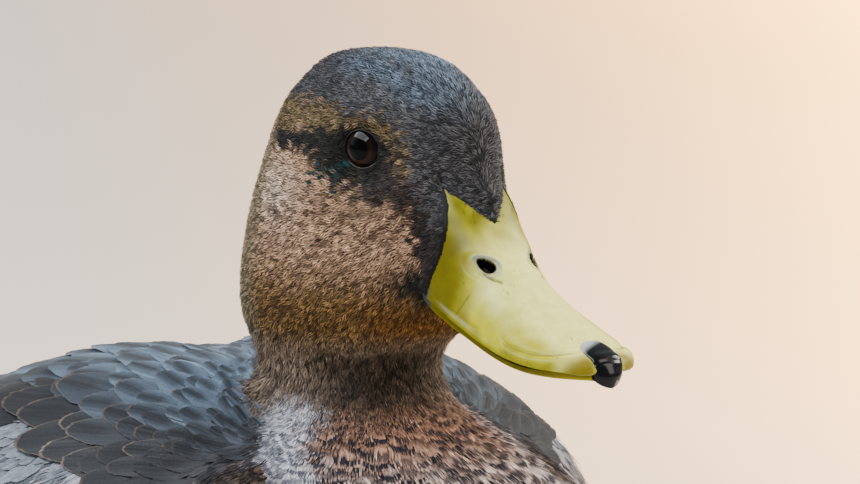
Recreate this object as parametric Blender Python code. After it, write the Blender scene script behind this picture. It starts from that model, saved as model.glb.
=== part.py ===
"""A life-size mallard drake in autumn plumage, standing at ease with its neck drawn in and its head
turned a little to its left. Metres, +Z up, the bird faces -Y and its left side is at +X.

The body, neck and head are lofted whole, joined, and parted by thin cuts. The bill, eyes, wings,
tail, legs and feet are pieces of their own that meet the body with a small gap.
"""

import math

import bmesh
import bpy
from mathutils import Matrix, Vector

# Driving dimensions
GAP = 0.0003  # clearance left between pieces that touch
EYE_HEIGHT = 0.258  # middle of the eyes above the floor
NECK_Y = -0.088  # the neck's upright axis, in front of the body's middle
NECK_BACK = 0.0225  # the neck axis behind the middle of the eyes
HEAD_TURN = math.radians(7)  # head turned to the bird's left
BILL_DROP = math.radians(15)  # bill pointing below level

EYE_RADIUS = 0.0053
EYE_SIDE = 0.0122  # eye centre out from the head's middle

BODY_SIDES = 28
NECK_SIDES = 28
BILL_SIDES = 20

JAW_CUT = -0.0435  # height of the cut under the jaw, from the eyes
NECK_CUT = -0.0600  # height of the cut at the foot of the neck, from the eyes
NECK_CUT_TILT = math.radians(12)  # that cut falls towards the breast
RUMP_CUT_Y = 0.128  # the cut between trunk and rump

LEG_SIDE = 0.036  # leg centre out from the body's middle
ANKLE = Vector((LEG_SIDE, 0.026, 0.051))
FOOT_TOP = Vector((LEG_SIDE + 0.001, 0.006, 0.010))
THIGH_RADIUS = 0.0215
ANKLE_RADIUS = 0.0052
SHANK_RADIUS = 0.0029
SHANK_SWELL = 0.0016  # added at the ankle and at the foot
TOE_LENGTH = 0.052  # middle toe with its claw
HIND_TOE_LENGTH = 0.013
TOE_RADIUS = 0.0027
TOE_ARCH = 0.0022  # the toes rise by this where they meet the shank
TOE_SPLAY = math.radians(34)  # between one toe and the next
TOE_OUT = math.radians(8)  # the middle toe points outwards by this
WEB_THICKNESS = 0.0012
# Under the shank: distance down from the foot's top, and radius
FOOT_BOSS = ((GAP, 0.0042), (0.0075, 0.0044), (0.0095, 0.0036))

# Trunk stations: y, half width, back height, height of the widest line, belly height
TRUNK = (
    (-0.1380, 0.000, 0.1580, 0.158, 0.158),
    (-0.1365, 0.021, 0.1730, 0.156, 0.139),
    (-0.1290, 0.040, 0.1870, 0.153, 0.120),
    (-0.1080, 0.062, 0.2000, 0.148, 0.098),
    (-0.0780, 0.071, 0.2080, 0.144, 0.082),
    (-0.0350, 0.076, 0.2080, 0.140, 0.073),
    (0.0150, 0.074, 0.1940, 0.136, 0.070),
    (0.0650, 0.065, 0.1790, 0.131, 0.074),
    (0.1100, 0.050, 0.1620, 0.128, 0.087),
    (0.1450, 0.038, 0.1510, 0.128, 0.102),
    (0.1750, 0.026, 0.1430, 0.130, 0.117),
    (0.1880, 0.015, 0.1390, 0.132, 0.125),
    (0.1910, 0.000, 0.1330, 0.133, 0.133),
)
TRUNK_SQUARE = 1.96  # at 2 the sections are ellipses

# Head and neck stations: height from the eyes, centre forward of the eyes, half length, half width,
# how much narrower the front is, and the share of the head's turn
HOOD = (
    (0.0180, -0.0108, 0.0000, 0.0000, 0.00, 1.0),
    (0.0175, -0.0108, 0.0092, 0.0056, 0.05, 1.0),
    (0.0154, -0.0098, 0.0184, 0.0106, 0.08, 1.0),
    (0.0100, -0.0089, 0.0265, 0.0156, 0.12, 1.0),
    (0.0035, -0.0089, 0.0303, 0.0186, 0.16, 1.0),
    (-0.0050, -0.0098, 0.0320, 0.0206, 0.20, 1.0),
    (-0.0140, -0.0108, 0.0335, 0.0224, 0.22, 1.0),
    (-0.0240, -0.0125, 0.0338, 0.0236, 0.22, 1.0),
    (-0.0330, -0.0158, 0.0315, 0.0238, 0.18, 1.0),
    (-0.0400, -0.0200, 0.0268, 0.0226, 0.12, 0.9),
    (-0.0445, -0.0232, 0.0222, 0.0208, 0.06, 0.8),
    (-0.0500, -0.0232, 0.0208, 0.0206, 0.02, 0.6),
    (-0.0560, -0.0222, 0.0226, 0.0230, 0.00, 0.4),
    (-0.0630, -0.0225, 0.0300, 0.0310, 0.00, 0.2),
    (-0.0710, -0.0230, 0.0400, 0.0420, 0.00, 0.0),
    (-0.0820, -0.0240, 0.0420, 0.0440, 0.00, 0.0),
    (-0.0900, -0.0240, 0.0000, 0.0000, 0.00, 0.0),
)

# Upper bill stations in the head's dropped frame: forward of the eyes, half width at the edge,
# top height, edge height, and the fullness of the arch
UPPER_BILL = (
    (0.0160, 0.0088, 0.0010, -0.0215, 4.0),
    (0.0205, 0.0103, -0.0013, -0.0232, 3.9),
    (0.0285, 0.0108, -0.0066, -0.0246, 3.0),
    (0.0370, 0.0109, -0.0117, -0.0254, 2.3),
    (0.0460, 0.0117, -0.0152, -0.0256, 2.1),
    (0.0550, 0.0127, -0.0174, -0.0250, 2.0),
    (0.0630, 0.0126, -0.0186, -0.0240, 2.1),
    (0.0680, 0.0108, -0.0194, -0.0231, 2.2),
    (0.0710, 0.0076, -0.0202, -0.0229, 2.2),
    (0.0725, 0.0000, -0.0219, -0.0219, 2.0),
)
LOWER_BILL_INSET = 0.0012  # the lower bill is narrower than the upper one by this, each side
LOWER_BILL_DEPTH = 0.0042  # at the gape, and half of it at the end
LOWER_BILL_END = 0.0675
NAIL_LENGTH = 0.0096
NAIL_WIDTH = 0.0066
NAIL_PROUD = 0.0005

WING_FIRST, WING_LAST = 3.75, 8.6  # trunk stations where the folded wing starts and ends
WING_LOW, WING_HIGH = math.radians(-10), math.radians(80)
WING_THICKNESS = 0.0085
WING_RIM = 0.0009
WING_GAP = 0.0008  # the wing lies this far off the trunk

# The closed flight feathers past the wing: root, tip, half width and thickness
PRIMARIES_ROOT = Vector((0.0290, 0.1120, 0.1605))
PRIMARIES_TIP = Vector((0.0110, 0.2080, 0.1560))
PRIMARIES_WIDTH = 0.0105
PRIMARIES_THICKNESS = 0.0034
PRIMARIES_ROLL = math.radians(22)  # the outer edge lies lower

# The closed tail
TAIL_ROOT = Vector((0.0, 0.150, 0.1360))
TAIL_TIP = Vector((0.0, 0.242, 0.1430))
TAIL_ROOT_WIDTH, TAIL_END_WIDTH = 0.020, 0.042  # half widths
TAIL_ROOT_DEPTH, TAIL_END_DEPTH = 0.0075, 0.0013  # half thicknesses


def smooth(rows, at):
    """The row at a whole or part index, on a smooth curve through all the rows."""
    at = min(max(at, 0.0), len(rows) - 1.0)
    index = min(int(at), len(rows) - 2)
    t = at - index
    before, a, b, after = (
        rows[min(max(index + step, 0), len(rows) - 1)] for step in (-1, 0, 1, 2)
    )
    found = []
    for p, q, r, s in zip(before, a, b, after):
        slope_q, slope_r = (r - p) / 2, (s - q) / 2
        found.append(
            (2 * t**3 - 3 * t**2 + 1) * q
            + (t**3 - 2 * t**2 + t) * slope_q
            + (3 * t**2 - 2 * t**3) * r
            + (t**3 - t**2) * slope_r
        )
    return found


def steps(first, last, count):
    """Evenly spaced values from first to last, both included."""
    return [first + (last - first) * i / (count - 1) for i in range(count)]


def power(value, exponent):
    """A signed power, for the sections that are fuller than an ellipse."""
    return math.copysign(abs(value) ** exponent, value)


# Materials and mesh helpers


def finish(name, colour, roughness, metallic=0.0):
    made = bpy.data.materials.new(name)
    made.use_nodes = True
    shader = made.node_tree.nodes["Principled BSDF"]
    shader.inputs["Base Color"].default_value = (*colour, 1.0)
    shader.inputs["Roughness"].default_value = roughness
    shader.inputs["Metallic"].default_value = metallic
    return made


def piece(name, points, faces, material=None):
    """A mesh object with its faces turned outwards and its round parts shaded smooth."""
    mesh = bpy.data.meshes.new(name)
    mesh.from_pydata([tuple(p) for p in points], [], faces)
    edit = bmesh.new()
    edit.from_mesh(mesh)
    bmesh.ops.recalc_face_normals(edit, faces=edit.faces)
    edit.to_mesh(mesh)
    edit.free()
    made = bpy.data.objects.new(name, mesh)
    bpy.context.scene.collection.objects.link(made)
    if material:
        mesh.materials.append(material)
    mesh.shade_smooth()
    mesh.set_sharp_from_angle(angle=math.radians(40))
    return made


def loft(name, rings, material=None):
    """A closed solid through rings of points. A ring of one point is a pole, and an end ring of
    many points gets a flat cap."""
    points, faces, starts = [], [], []
    for ring in rings:
        starts.append(len(points))
        points.extend(ring)
    for i in range(len(rings) - 1):
        here, there = len(rings[i]), len(rings[i + 1])
        count = max(here, there)
        for j in range(count):
            k = (j + 1) % count
            a, b = starts[i] + j % here, starts[i] + k % here
            c, d = starts[i + 1] + k % there, starts[i + 1] + j % there
            corners = [a, b, c, d]
            faces.append([v for n, v in enumerate(corners) if v not in corners[:n]])
    for ring, start in ((rings[0], starts[0]), (rings[-1], starts[-1])):
        if len(ring) > 1:
            faces.append(list(range(start, start + len(ring))))
    return piece(name, points, faces, material)


def combine(target, other, operation):
    """Applies one Boolean to the target, and removes the other object."""
    modifier = target.modifiers.new(operation, "BOOLEAN")
    modifier.operation = operation
    modifier.solver = "EXACT"
    modifier.object = other
    bpy.context.view_layer.update()
    graph = bpy.context.evaluated_depsgraph_get()
    result = bpy.data.meshes.new_from_object(target.evaluated_get(graph))
    target.modifiers.remove(modifier)
    old, target.data = target.data, result
    bpy.data.meshes.remove(old)
    bpy.data.objects.remove(other)
    return target


def copy_of(source, name, material):
    made = source.copy()
    made.data = source.data.copy()
    made.name = name
    made.data.materials.clear()
    made.data.materials.append(material)
    bpy.context.scene.collection.objects.link(made)
    return made


def block(centre, size, turn=None):
    """A box for cutting, with its own turn."""
    place = Matrix.Translation(centre) @ (turn.to_4x4() if turn else Matrix())
    corners = [
        place @ Vector((x * size[0] / 2, y * size[1] / 2, z * size[2] / 2))
        for x in (-1, 1)
        for y in (-1, 1)
        for z in (-1, 1)
    ]
    faces = [(0, 1, 3, 2), (4, 6, 7, 5), (0, 4, 5, 1), (2, 3, 7, 6), (0, 2, 6, 4), (1, 5, 7, 3)]
    return piece("block", corners, faces)


def mirrored(source, name):
    """The same piece on the bird's right."""
    made = copy_of(source, name, source.data.materials[0])
    made.data.transform(Matrix.Scale(-1, 4, (1, 0, 0)))
    made.data.flip_normals()
    return made


# The head's frame


def forward(share=1.0):
    """The level direction that the head, or a share of its turn, faces."""
    return Vector((math.sin(HEAD_TURN * share), -math.cos(HEAD_TURN * share), 0.0))


def leftward(share=1.0):
    return Vector((math.cos(HEAD_TURN * share), math.sin(HEAD_TURN * share), 0.0))


def eyes_middle():
    return Vector((0.0, NECK_Y, EYE_HEIGHT)) + forward() * NECK_BACK


def head_point(ahead, left, up):
    """A point of the dropped head frame, which the bill and its parts use."""
    level = ahead * math.cos(BILL_DROP) + up * math.sin(BILL_DROP)
    rise = up * math.cos(BILL_DROP) - ahead * math.sin(BILL_DROP)
    return eyes_middle() + forward() * level + leftward() * left + Vector((0, 0, rise))


# Body


def trunk_point(station, angle, grow=0.0):
    """A point of the trunk's skin. The angle is 0 at the left side and a quarter turn at the back."""
    y, half, back, middle, belly = smooth(TRUNK, station)
    across, up = math.cos(angle), math.sin(angle)
    half += grow
    reach = (back - middle if up >= 0 else middle - belly) + grow
    x = half * power(across, 2 / TRUNK_SQUARE)
    return Vector((x, y, middle + reach * power(up, 2 / TRUNK_SQUARE)))


def trunk_solid(name, grow=0.0):
    last = len(TRUNK) - 1.0
    stations = steps(0.5, last - 0.5, 19)
    angles = [2 * math.pi * i / BODY_SIDES for i in range(BODY_SIDES)]
    rings = [[trunk_point(0, 0) - Vector((0, grow, 0))]]
    rings += [[trunk_point(s, a, grow) for a in angles] for s in stations]
    rings += [[trunk_point(last, 0) + Vector((0, grow, 0))]]
    return loft(name, rings)


def wedge(height, side):
    """How far the tongue of feathers between the bill's corners stands ahead of the forehead."""
    tall = math.exp(-(((height + 0.0110) / 0.0050) ** 2))
    return 0.0050 * tall * max(0.0, 1.0 - abs(side) / 0.0060)


def socket(ahead, height, side):
    """How far the feathers dip round the eye."""
    away = math.hypot(ahead, height) / 0.0068
    return 0.0012 * math.exp(-(away**2)) if side else 0.0


def hood_ring(station, grow=0.0):
    height, centre, length, width, taper, share = smooth(HOOD, station)
    middle = Vector((0.0, NECK_Y, EYE_HEIGHT + height)) + forward(share) * (centre + NECK_BACK)
    ring = []
    for i in range(NECK_SIDES):
        angle = 2 * math.pi * i / NECK_SIDES
        ahead = (length + grow) * math.cos(angle)
        side = (width + grow) * math.sin(angle) * (1 - taper * math.cos(angle))
        if ahead > 0:
            ahead += wedge(height, side)
        dip = socket(centre + ahead, height, side)
        side -= math.copysign(dip, side)
        ring.append(middle + forward(share) * ahead + leftward(share) * side)
    return ring


def hood_solid(name, grow=0.0):
    """Head and neck, from the crown down into the trunk."""
    last = len(HOOD) - 1.0
    stations = steps(0.5, last - 0.5, 25)
    top = Vector((0.0, NECK_Y, EYE_HEIGHT + HOOD[0][0] + grow))
    top += forward() * (HOOD[0][1] + NECK_BACK)
    foot = Vector((0.0, NECK_Y, EYE_HEIGHT + HOOD[-1][0] - grow))
    rings = [[top], *(hood_ring(s, grow) for s in stations), [foot]]
    return loft(name, rings)


# Bill


def bill_ring(ahead_row, inset=0.0, grow=0.0, lower=False):
    """One section of the bill: an arch over the edge line, or the shallow trough under it."""
    ahead, half, top, edge, full = ahead_row
    ring = []
    for i in range(BILL_SIDES):
        angle = 2 * math.pi * i / BILL_SIDES
        across = power(math.cos(angle), 2 / full)
        up = math.sin(angle)
        if lower:
            thinned = 1 - 0.5 * (ahead / LOWER_BILL_END) ** 2
            reach = 0.0004 if up >= 0 else LOWER_BILL_DEPTH * thinned
            rise = (edge - 0.0009) + (reach + grow) * power(up, 2 / full)
        else:
            reach = top - edge if up >= 0 else 0.0006
            rise = edge + (reach + grow) * power(up, 2 / full)
        ring.append(head_point(ahead, (half - inset + grow) * across, rise))
    return ring


def upper_bill_solid(name, material=None, grow=0.0):
    last = len(UPPER_BILL) - 1.0
    rows = [smooth(UPPER_BILL, s) for s in steps(0.0, last - 0.33, 14)]
    tip = UPPER_BILL[-1]
    rings = [bill_ring(row, grow=grow) for row in rows]
    rings.append([head_point(tip[0] + grow, 0.0, tip[2])])
    return loft(name, rings, material)


def lower_bill_solid(name, material=None, grow=0.0):
    last = len(UPPER_BILL) - 1.0
    rows = [smooth(UPPER_BILL, s) for s in steps(0.3, last - 0.33, 12)]
    rows = [row for row in rows if row[0] < LOWER_BILL_END - 0.001]
    rings = [bill_ring(row, LOWER_BILL_INSET, grow, True) for row in rows]
    end = smooth(UPPER_BILL, 7)
    rings.append([head_point(LOWER_BILL_END + grow, 0.0, end[3] - 0.0024)])
    return loft(name, rings, material)


def nail_cutter(grow):
    """An upright oval post through the bill's tip."""
    tip = UPPER_BILL[-1][0]
    rings = []
    for height in (-0.040, -0.010):
        ring = []
        for i in range(20):
            angle = 2 * math.pi * i / 20
            ahead = tip - NAIL_LENGTH / 2 + 0.0012 + (NAIL_LENGTH / 2 + grow) * math.cos(angle)
            left = (NAIL_WIDTH / 2 + grow) * math.sin(angle)
            ring.append(head_point(ahead, left, height))
        rings.append(ring)
    return loft("nail_cutter", rings)


def make_bill(horn, dark_horn):
    upper = upper_bill_solid("upper_bill", horn)
    nail = combine(upper_bill_solid("bill_nail", dark_horn, NAIL_PROUD), nail_cutter(0.0), "INTERSECT")
    combine(upper, nail_cutter(GAP), "DIFFERENCE")
    lower = lower_bill_solid("lower_bill", horn)
    combine(lower, upper_bill_solid("cutter", grow=GAP), "DIFFERENCE")
    combine(lower, nail_cutter(GAP), "DIFFERENCE")
    return upper, nail, lower


def eye_solid(name, side, material=None, grow=0.0):
    centre = eyes_middle() + leftward() * (side * EYE_SIDE)
    bpy.ops.mesh.primitive_uv_sphere_add(
        segments=16, ring_count=9, radius=EYE_RADIUS + grow, location=(0, 0, 0)
    )
    made = bpy.context.object
    made.name = name
    made.data.transform(Matrix.Rotation(math.radians(90), 4, "Y"))
    made.data.transform(Matrix.Rotation(HEAD_TURN, 4, "Z"))
    made.data.transform(Matrix.Translation(centre))
    made.data.shade_smooth()
    if material:
        made.data.materials.append(material)
    return made


def part_flesh(plumage):
    """Joins trunk, neck and head, then parts them by thin cuts."""
    whole = combine(trunk_solid("whole"), hood_solid("hood"), "UNION")
    jaw = EYE_HEIGHT + JAW_CUT
    foot = EYE_HEIGHT + NECK_CUT
    tilt = Matrix.Rotation(NECK_CUT_TILT, 3, "X")
    wide = 0.6
    pivot = Vector((0.0, NECK_Y, foot))
    level_up = tilt @ Vector((0, 0, 1))

    head = copy_of(whole, "head", plumage["head"])
    combine(head, block((0, 0, jaw + GAP / 2 + wide / 2), (wide,) * 3), "INTERSECT")

    neck = copy_of(whole, "neck", plumage["neck"])
    combine(neck, block((0, 0, jaw - GAP / 2 - wide / 2), (wide,) * 3), "INTERSECT")
    combine(neck, block(pivot + level_up * (GAP / 2 + wide / 2), (wide,) * 3, tilt), "INTERSECT")

    rest = copy_of(whole, "rest", plumage["trunk"])
    combine(rest, block(pivot - level_up * (GAP / 2 + wide / 2), (wide,) * 3, tilt), "INTERSECT")
    rump = copy_of(rest, "rump", plumage["rump"])
    combine(rump, block((0, RUMP_CUT_Y + GAP / 2 + wide / 2, 0.2), (wide,) * 3), "INTERSECT")
    trunk = rest
    trunk.name = "trunk"
    combine(trunk, block((0, RUMP_CUT_Y - GAP / 2 - wide / 2, 0.2), (wide,) * 3), "INTERSECT")
    bpy.data.objects.remove(whole)
    return head, neck, trunk, rump


# Wings and tail


def wing_depth(along, around):
    """Thickness of the folded wing: full in its middle and thin round its rim."""
    fullness = max(0.0, math.sin(math.pi * along**0.8) * math.sin(math.pi * around**0.75))
    return WING_RIM + (WING_THICKNESS - WING_RIM) * fullness**0.6


def make_wing(name, material=None, grow=0.0):
    """A shell laid on the left of the trunk, from the shoulder to over the rump."""
    rows, columns = 15, 12
    inner, outer = [], []
    for along in steps(0.0, 1.0, rows):
        station = WING_FIRST + (WING_LAST - WING_FIRST) * along + grow * 30 * (2 * along - 1)
        low = WING_LOW + math.radians(34) * max(0.0, along - 0.45) / 0.55
        for around in steps(0.0, 1.0, columns):
            angle = low + (WING_HIGH - low) * around + grow * 20 * (2 * around - 1)
            inner.append(trunk_point(station, angle, WING_GAP - grow))
            outer.append(trunk_point(station, angle, WING_GAP + grow + wing_depth(along, around)))
    half = rows * columns
    faces = []
    for i in range(rows - 1):
        for j in range(columns - 1):
            a = i * columns + j
            b, c, d = a + 1, a + columns + 1, a + columns
            faces.append((a, b, c, d))
            faces.append((half + d, half + c, half + b, half + a))
    rim = list(range(columns))
    rim += [i * columns + columns - 1 for i in range(1, rows)]
    rim += [(rows - 1) * columns + j for j in range(columns - 2, -1, -1)]
    rim += [i * columns for i in range(rows - 2, 0, -1)]
    for a, b in zip(rim, rim[1:] + rim[:1]):
        faces.append((a, b, half + b, half + a))
    return piece(name, inner + outer, faces, material)


def blade(name, spine, material, sides=10, roll=0.0):
    """A flat tapering blade along a spine of (place, half width, half thickness) stations."""
    across = Vector((math.cos(roll), 0.0, -math.sin(roll)))
    upward = Vector((math.sin(roll), 0.0, math.cos(roll)))
    rings = []
    for place, half, thick in spine:
        ring = []
        for i in range(sides):
            angle = 2 * math.pi * i / sides
            flat = across * (half * math.cos(angle)) + upward * (thick * math.sin(angle))
            ring.append(place + flat)
        rings.append(ring)
    return loft(name, rings, material)


def make_primaries(name, material):
    """The long flight feathers that show past the folded wing, over the rump."""
    spine = []
    for t in steps(0.0, 1.0, 7):
        half = PRIMARIES_WIDTH * math.sqrt(max(0.02, 1 - t**2.2))
        thick = PRIMARIES_THICKNESS / 2 * (1 - 0.5 * t)
        spine.append((PRIMARIES_ROOT.lerp(PRIMARIES_TIP, t), half, thick))
    made = blade(name, spine, material, roll=PRIMARIES_ROLL)
    combine(made, make_wing("cutter", grow=GAP), "DIFFERENCE")
    return combine(made, trunk_solid("cutter", WING_GAP + GAP), "DIFFERENCE")


def make_tail(material):
    """The closed fan of tail feathers, held nearly level."""
    spine = []
    for t in steps(0.0, 1.0, 9):
        wide = TAIL_ROOT_WIDTH + (TAIL_END_WIDTH - TAIL_ROOT_WIDTH) * t**0.8
        deep = TAIL_ROOT_DEPTH + (TAIL_END_DEPTH - TAIL_ROOT_DEPTH) * t**0.7
        half = wide * math.sqrt(max(0.06, 1 - t**5))
        spine.append((TAIL_ROOT.lerp(TAIL_TIP, t), half, deep))
    made = blade("tail", spine, material, 16)
    return combine(made, trunk_solid("cutter", GAP), "DIFFERENCE")


# Legs


def limb(name, stations, material, sides=14):
    """A round limb through stations of (place, radius), with flat ends."""
    rings = []
    for place, radius in stations:
        ring = []
        for i in range(sides):
            angle = 2 * math.pi * i / sides
            ring.append(Vector(place) + Vector((math.cos(angle), math.sin(angle), 0)) * radius)
        rings.append(ring)
    return loft(name, rings, material)


def make_thigh(name, material):
    """The feathered part of the leg, from the belly to the ankle."""
    hip = Vector((LEG_SIDE, 0.004, 0.108))
    knee = ANKLE + Vector((0, 0, GAP))
    stations = []
    for t in steps(0.0, 1.0, 8):
        stations.append((hip.lerp(knee, t), THIGH_RADIUS + (ANKLE_RADIUS - THIGH_RADIUS) * t**0.85))
    made = limb(name, stations, material)
    return combine(made, trunk_solid("cutter", GAP), "DIFFERENCE")


def make_shank(name, material):
    """The bare scaled leg between ankle and foot."""
    stations = []
    for t in steps(0.0, 1.0, 9):
        swell = SHANK_SWELL * (2 * abs(t - 0.5)) ** 3
        stations.append((ANKLE.lerp(FOOT_TOP, t), SHANK_RADIUS + swell))
    return limb(name, stations, material, 12)


def toe(name, heading, length, thick):
    """One toe: jointed swellings along a round taper that ends in a claw."""
    rings = []
    direction = Vector((math.sin(heading), -math.cos(heading), 0))
    side = Vector((math.cos(heading), math.sin(heading), 0))
    for t in steps(0.0, 1.0, 9):
        joint = 1 + 0.1 * math.cos(4 * math.pi * t)
        claw = 1.0 if t < 0.86 else max(0.12, 1 - ((t - 0.86) / 0.14) ** 1.5)
        radius = thick * (1 - 0.38 * t) * joint * claw
        rise = radius * 0.55 + TOE_ARCH * max(0.0, 1 - 4 * t)
        middle = Vector((FOOT_TOP.x, FOOT_TOP.y, rise)) + direction * (length * t)
        ring = []
        for i in range(10):
            angle = 2 * math.pi * (i + 0.5) / 10
            ring.append(
                middle + side * (radius * math.cos(angle)) + Vector((0, 0, radius * math.sin(angle)))
            )
        rings.append(ring)
    return loft(name, rings)


def make_foot(name, material):
    """Three webbed toes and the small hind toe, flat underneath."""
    headings = (TOE_OUT - TOE_SPLAY, TOE_OUT, TOE_OUT + TOE_SPLAY)
    lengths = (TOE_LENGTH * 0.86, TOE_LENGTH, TOE_LENGTH * 0.94)
    foot = toe(name, headings[1], lengths[1], TOE_RADIUS)
    for side in (0, 2):
        combine(foot, toe("side_toe", headings[side], lengths[side], TOE_RADIUS * 0.9), "UNION")
    combine(foot, toe("hind_toe", math.pi + TOE_OUT * 0.5, HIND_TOE_LENGTH, 0.0017), "UNION")

    outline = [Vector((FOOT_TOP.x, FOOT_TOP.y, 0))]
    for first, second in ((0, 1), (1, 2)):
        for t in steps(0.0, 1.0, 7):
            heading = headings[first] + (headings[second] - headings[first]) * t
            reach = lengths[first] + (lengths[second] - lengths[first]) * t
            scallop = 1 - 0.13 * math.sin(math.pi * t)
            spot = Vector((math.sin(heading), -math.cos(heading), 0)) * (reach * 0.86 * scallop)
            if first == 0 or t > 0:
                outline.append(outline[0] + spot)
    lifted = [p + Vector((0, 0, WEB_THICKNESS)) for p in outline]
    web = loft("web", [[p - Vector((0, 0, 0.001)) for p in outline], lifted])
    combine(foot, web, "UNION")

    boss = [(FOOT_TOP - Vector((0, 0, down)), radius) for down, radius in FOOT_BOSS]
    combine(foot, limb("boss", boss, None), "UNION")
    combine(foot, block((FOOT_TOP.x, 0, 0.05), (0.3, 0.3, 0.1)), "INTERSECT")
    foot.data.materials.clear()
    foot.data.materials.append(material)
    return foot


def rest_on_floor_centre():
    """Moves everything so that the origin is on the floor, under the middle of the bounding box."""
    bpy.context.view_layer.update()
    spots = [o.matrix_world @ v.co for o in bpy.context.scene.objects for v in o.data.vertices]
    low = [min(p[axis] for p in spots) for axis in range(3)]
    high = [max(p[axis] for p in spots) for axis in range(3)]
    shift = Matrix.Translation((-(low[0] + high[0]) / 2, -(low[1] + high[1]) / 2, -low[2]))
    for made in bpy.context.scene.objects:
        made.data.transform(shift)


def build():
    for old in list(bpy.data.objects):
        bpy.data.objects.remove(old)
    brown = finish("brown_feather", (0.16, 0.11, 0.075), 0.75)
    rust = finish("rust_feather", (0.27, 0.15, 0.10), 0.75)
    grey = finish("grey_feather", (0.11, 0.12, 0.13), 0.6)
    dark = finish("dark_feather", (0.05, 0.045, 0.04), 0.6)
    pale = finish("pale_feather", (0.42, 0.40, 0.36), 0.7)
    horn = finish("bill_horn", (0.48, 0.45, 0.07), 0.35)
    dark_horn = finish("nail_horn", (0.02, 0.018, 0.016), 0.25)
    glassy = finish("eye", (0.03, 0.014, 0.008), 0.05)
    orange = finish("leg_skin", (0.62, 0.20, 0.03), 0.5)

    plumage = {"head": brown, "neck": brown, "trunk": rust, "rump": dark}
    head, neck, trunk, rump = part_flesh(plumage)
    make_bill(horn, dark_horn)
    combine(head, upper_bill_solid("cutter", grow=GAP), "DIFFERENCE")
    combine(head, lower_bill_solid("cutter", grow=GAP), "DIFFERENCE")
    for name, side in (("eye_left", 1), ("eye_right", -1)):
        combine(head, eye_solid("cutter", side, grow=GAP), "DIFFERENCE")
        eye_solid(name, side, glassy)

    left_wing = make_wing("wing_left", grey)
    combine(left_wing, hood_solid("cutter", GAP), "DIFFERENCE")
    mirrored(left_wing, "wing_right")
    make_tail(pale)
    mirrored(make_primaries("primaries_left", dark), "primaries_right")

    mirrored(make_thigh("thigh_left", brown), "thigh_right")
    mirrored(make_shank("shank_left", orange), "shank_right")
    mirrored(make_foot("foot_left", orange), "foot_right")
    rest_on_floor_centre()


build()
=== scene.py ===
"""A still, life-size mallard drake in its autumn plumage, dressed over its measured frame."""

import itertools
import math

import bmesh
import bpy
import numpy as np
from mathutils import Matrix, Vector
from mathutils.bvhtree import BVHTree


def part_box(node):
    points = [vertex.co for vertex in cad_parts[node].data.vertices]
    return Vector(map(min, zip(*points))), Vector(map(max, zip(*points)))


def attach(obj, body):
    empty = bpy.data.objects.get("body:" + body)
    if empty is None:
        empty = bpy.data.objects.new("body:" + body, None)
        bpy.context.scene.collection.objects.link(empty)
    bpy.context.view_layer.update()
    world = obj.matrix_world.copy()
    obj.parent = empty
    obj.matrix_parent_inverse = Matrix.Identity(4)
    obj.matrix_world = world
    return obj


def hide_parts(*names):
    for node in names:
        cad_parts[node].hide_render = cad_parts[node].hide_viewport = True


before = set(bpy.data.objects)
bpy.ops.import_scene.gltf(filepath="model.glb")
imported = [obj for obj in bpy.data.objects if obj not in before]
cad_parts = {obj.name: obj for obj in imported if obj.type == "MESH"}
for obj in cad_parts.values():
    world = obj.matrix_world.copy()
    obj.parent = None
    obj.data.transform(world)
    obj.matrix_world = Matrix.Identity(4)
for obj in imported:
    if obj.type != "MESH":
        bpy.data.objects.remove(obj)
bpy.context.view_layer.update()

# ---------------------------------------------------------------------------------------------
# The studio: a plain pale floor under soft lamps, and a long lens a little above the bird's eye,
# off its right front. Everything is set out from the middle of the right eye.

VIEW_AZIMUTH, VIEW_RISE = math.radians(-30), math.radians(8)
VIEW_DISTANCE = 2.0
VIEW_WIDTH = 0.1755  # what the frame spans at the eye's distance
EYE_IN_FRAME = (-0.0147, 0.0192)  # the eye's place right of and above the frame's middle
FLOOR_HALF = 15
LAMPS_AIM = Vector((0.0, -0.10, 0.18))
SENSOR = 36  # millimetres


def middle_of(node):
    """The middle of a frame piece."""
    low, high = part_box(node)
    return (Vector(low) + Vector(high)) / 2


def set_out(name, data):
    """A new object of the scene."""
    made = bpy.data.objects.new(name, data)
    bpy.context.scene.collection.objects.link(made)
    return made


def soft_lamp(name, size, power, colour, place, turn):
    """A rectangular lamp that the lens doesn't see."""
    panel = bpy.data.lights.new(name, "AREA")
    panel.shape = "RECTANGLE"
    panel.size, panel.size_y = size
    panel.energy, panel.color = power, colour
    lamp = set_out(name, panel)
    lamp.location, lamp.rotation_euler = place, turn
    lamp.visible_camera = False
    return lamp


right_eye, left_eye = middle_of("eye_right"), middle_of("eye_left")
lens_right = Vector((math.cos(VIEW_AZIMUTH), math.sin(VIEW_AZIMUTH), 0.0))
level = Vector((lens_right.y, -lens_right.x, 0.0))
towards_lens = level * math.cos(VIEW_RISE) + Vector((0, 0, math.sin(VIEW_RISE)))
lens_up = towards_lens.cross(lens_right)
eye_seen = right_eye + Vector((-0.003, 0.0, 0.0))
aim = eye_seen - lens_right * EYE_IN_FRAME[0] - lens_up * EYE_IN_FRAME[1]

lens = bpy.data.cameras.new("long_lens")
lens.sensor_width = SENSOR
lens.lens = SENSOR * VIEW_DISTANCE / VIEW_WIDTH
lens.clip_start, lens.clip_end = 0.05, 40
camera = set_out("camera", lens)
camera.location = aim + towards_lens * VIEW_DISTANCE
camera.rotation_euler = towards_lens.to_track_quat("Z", "Y").to_euler()
bpy.context.scene.camera = camera

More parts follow.
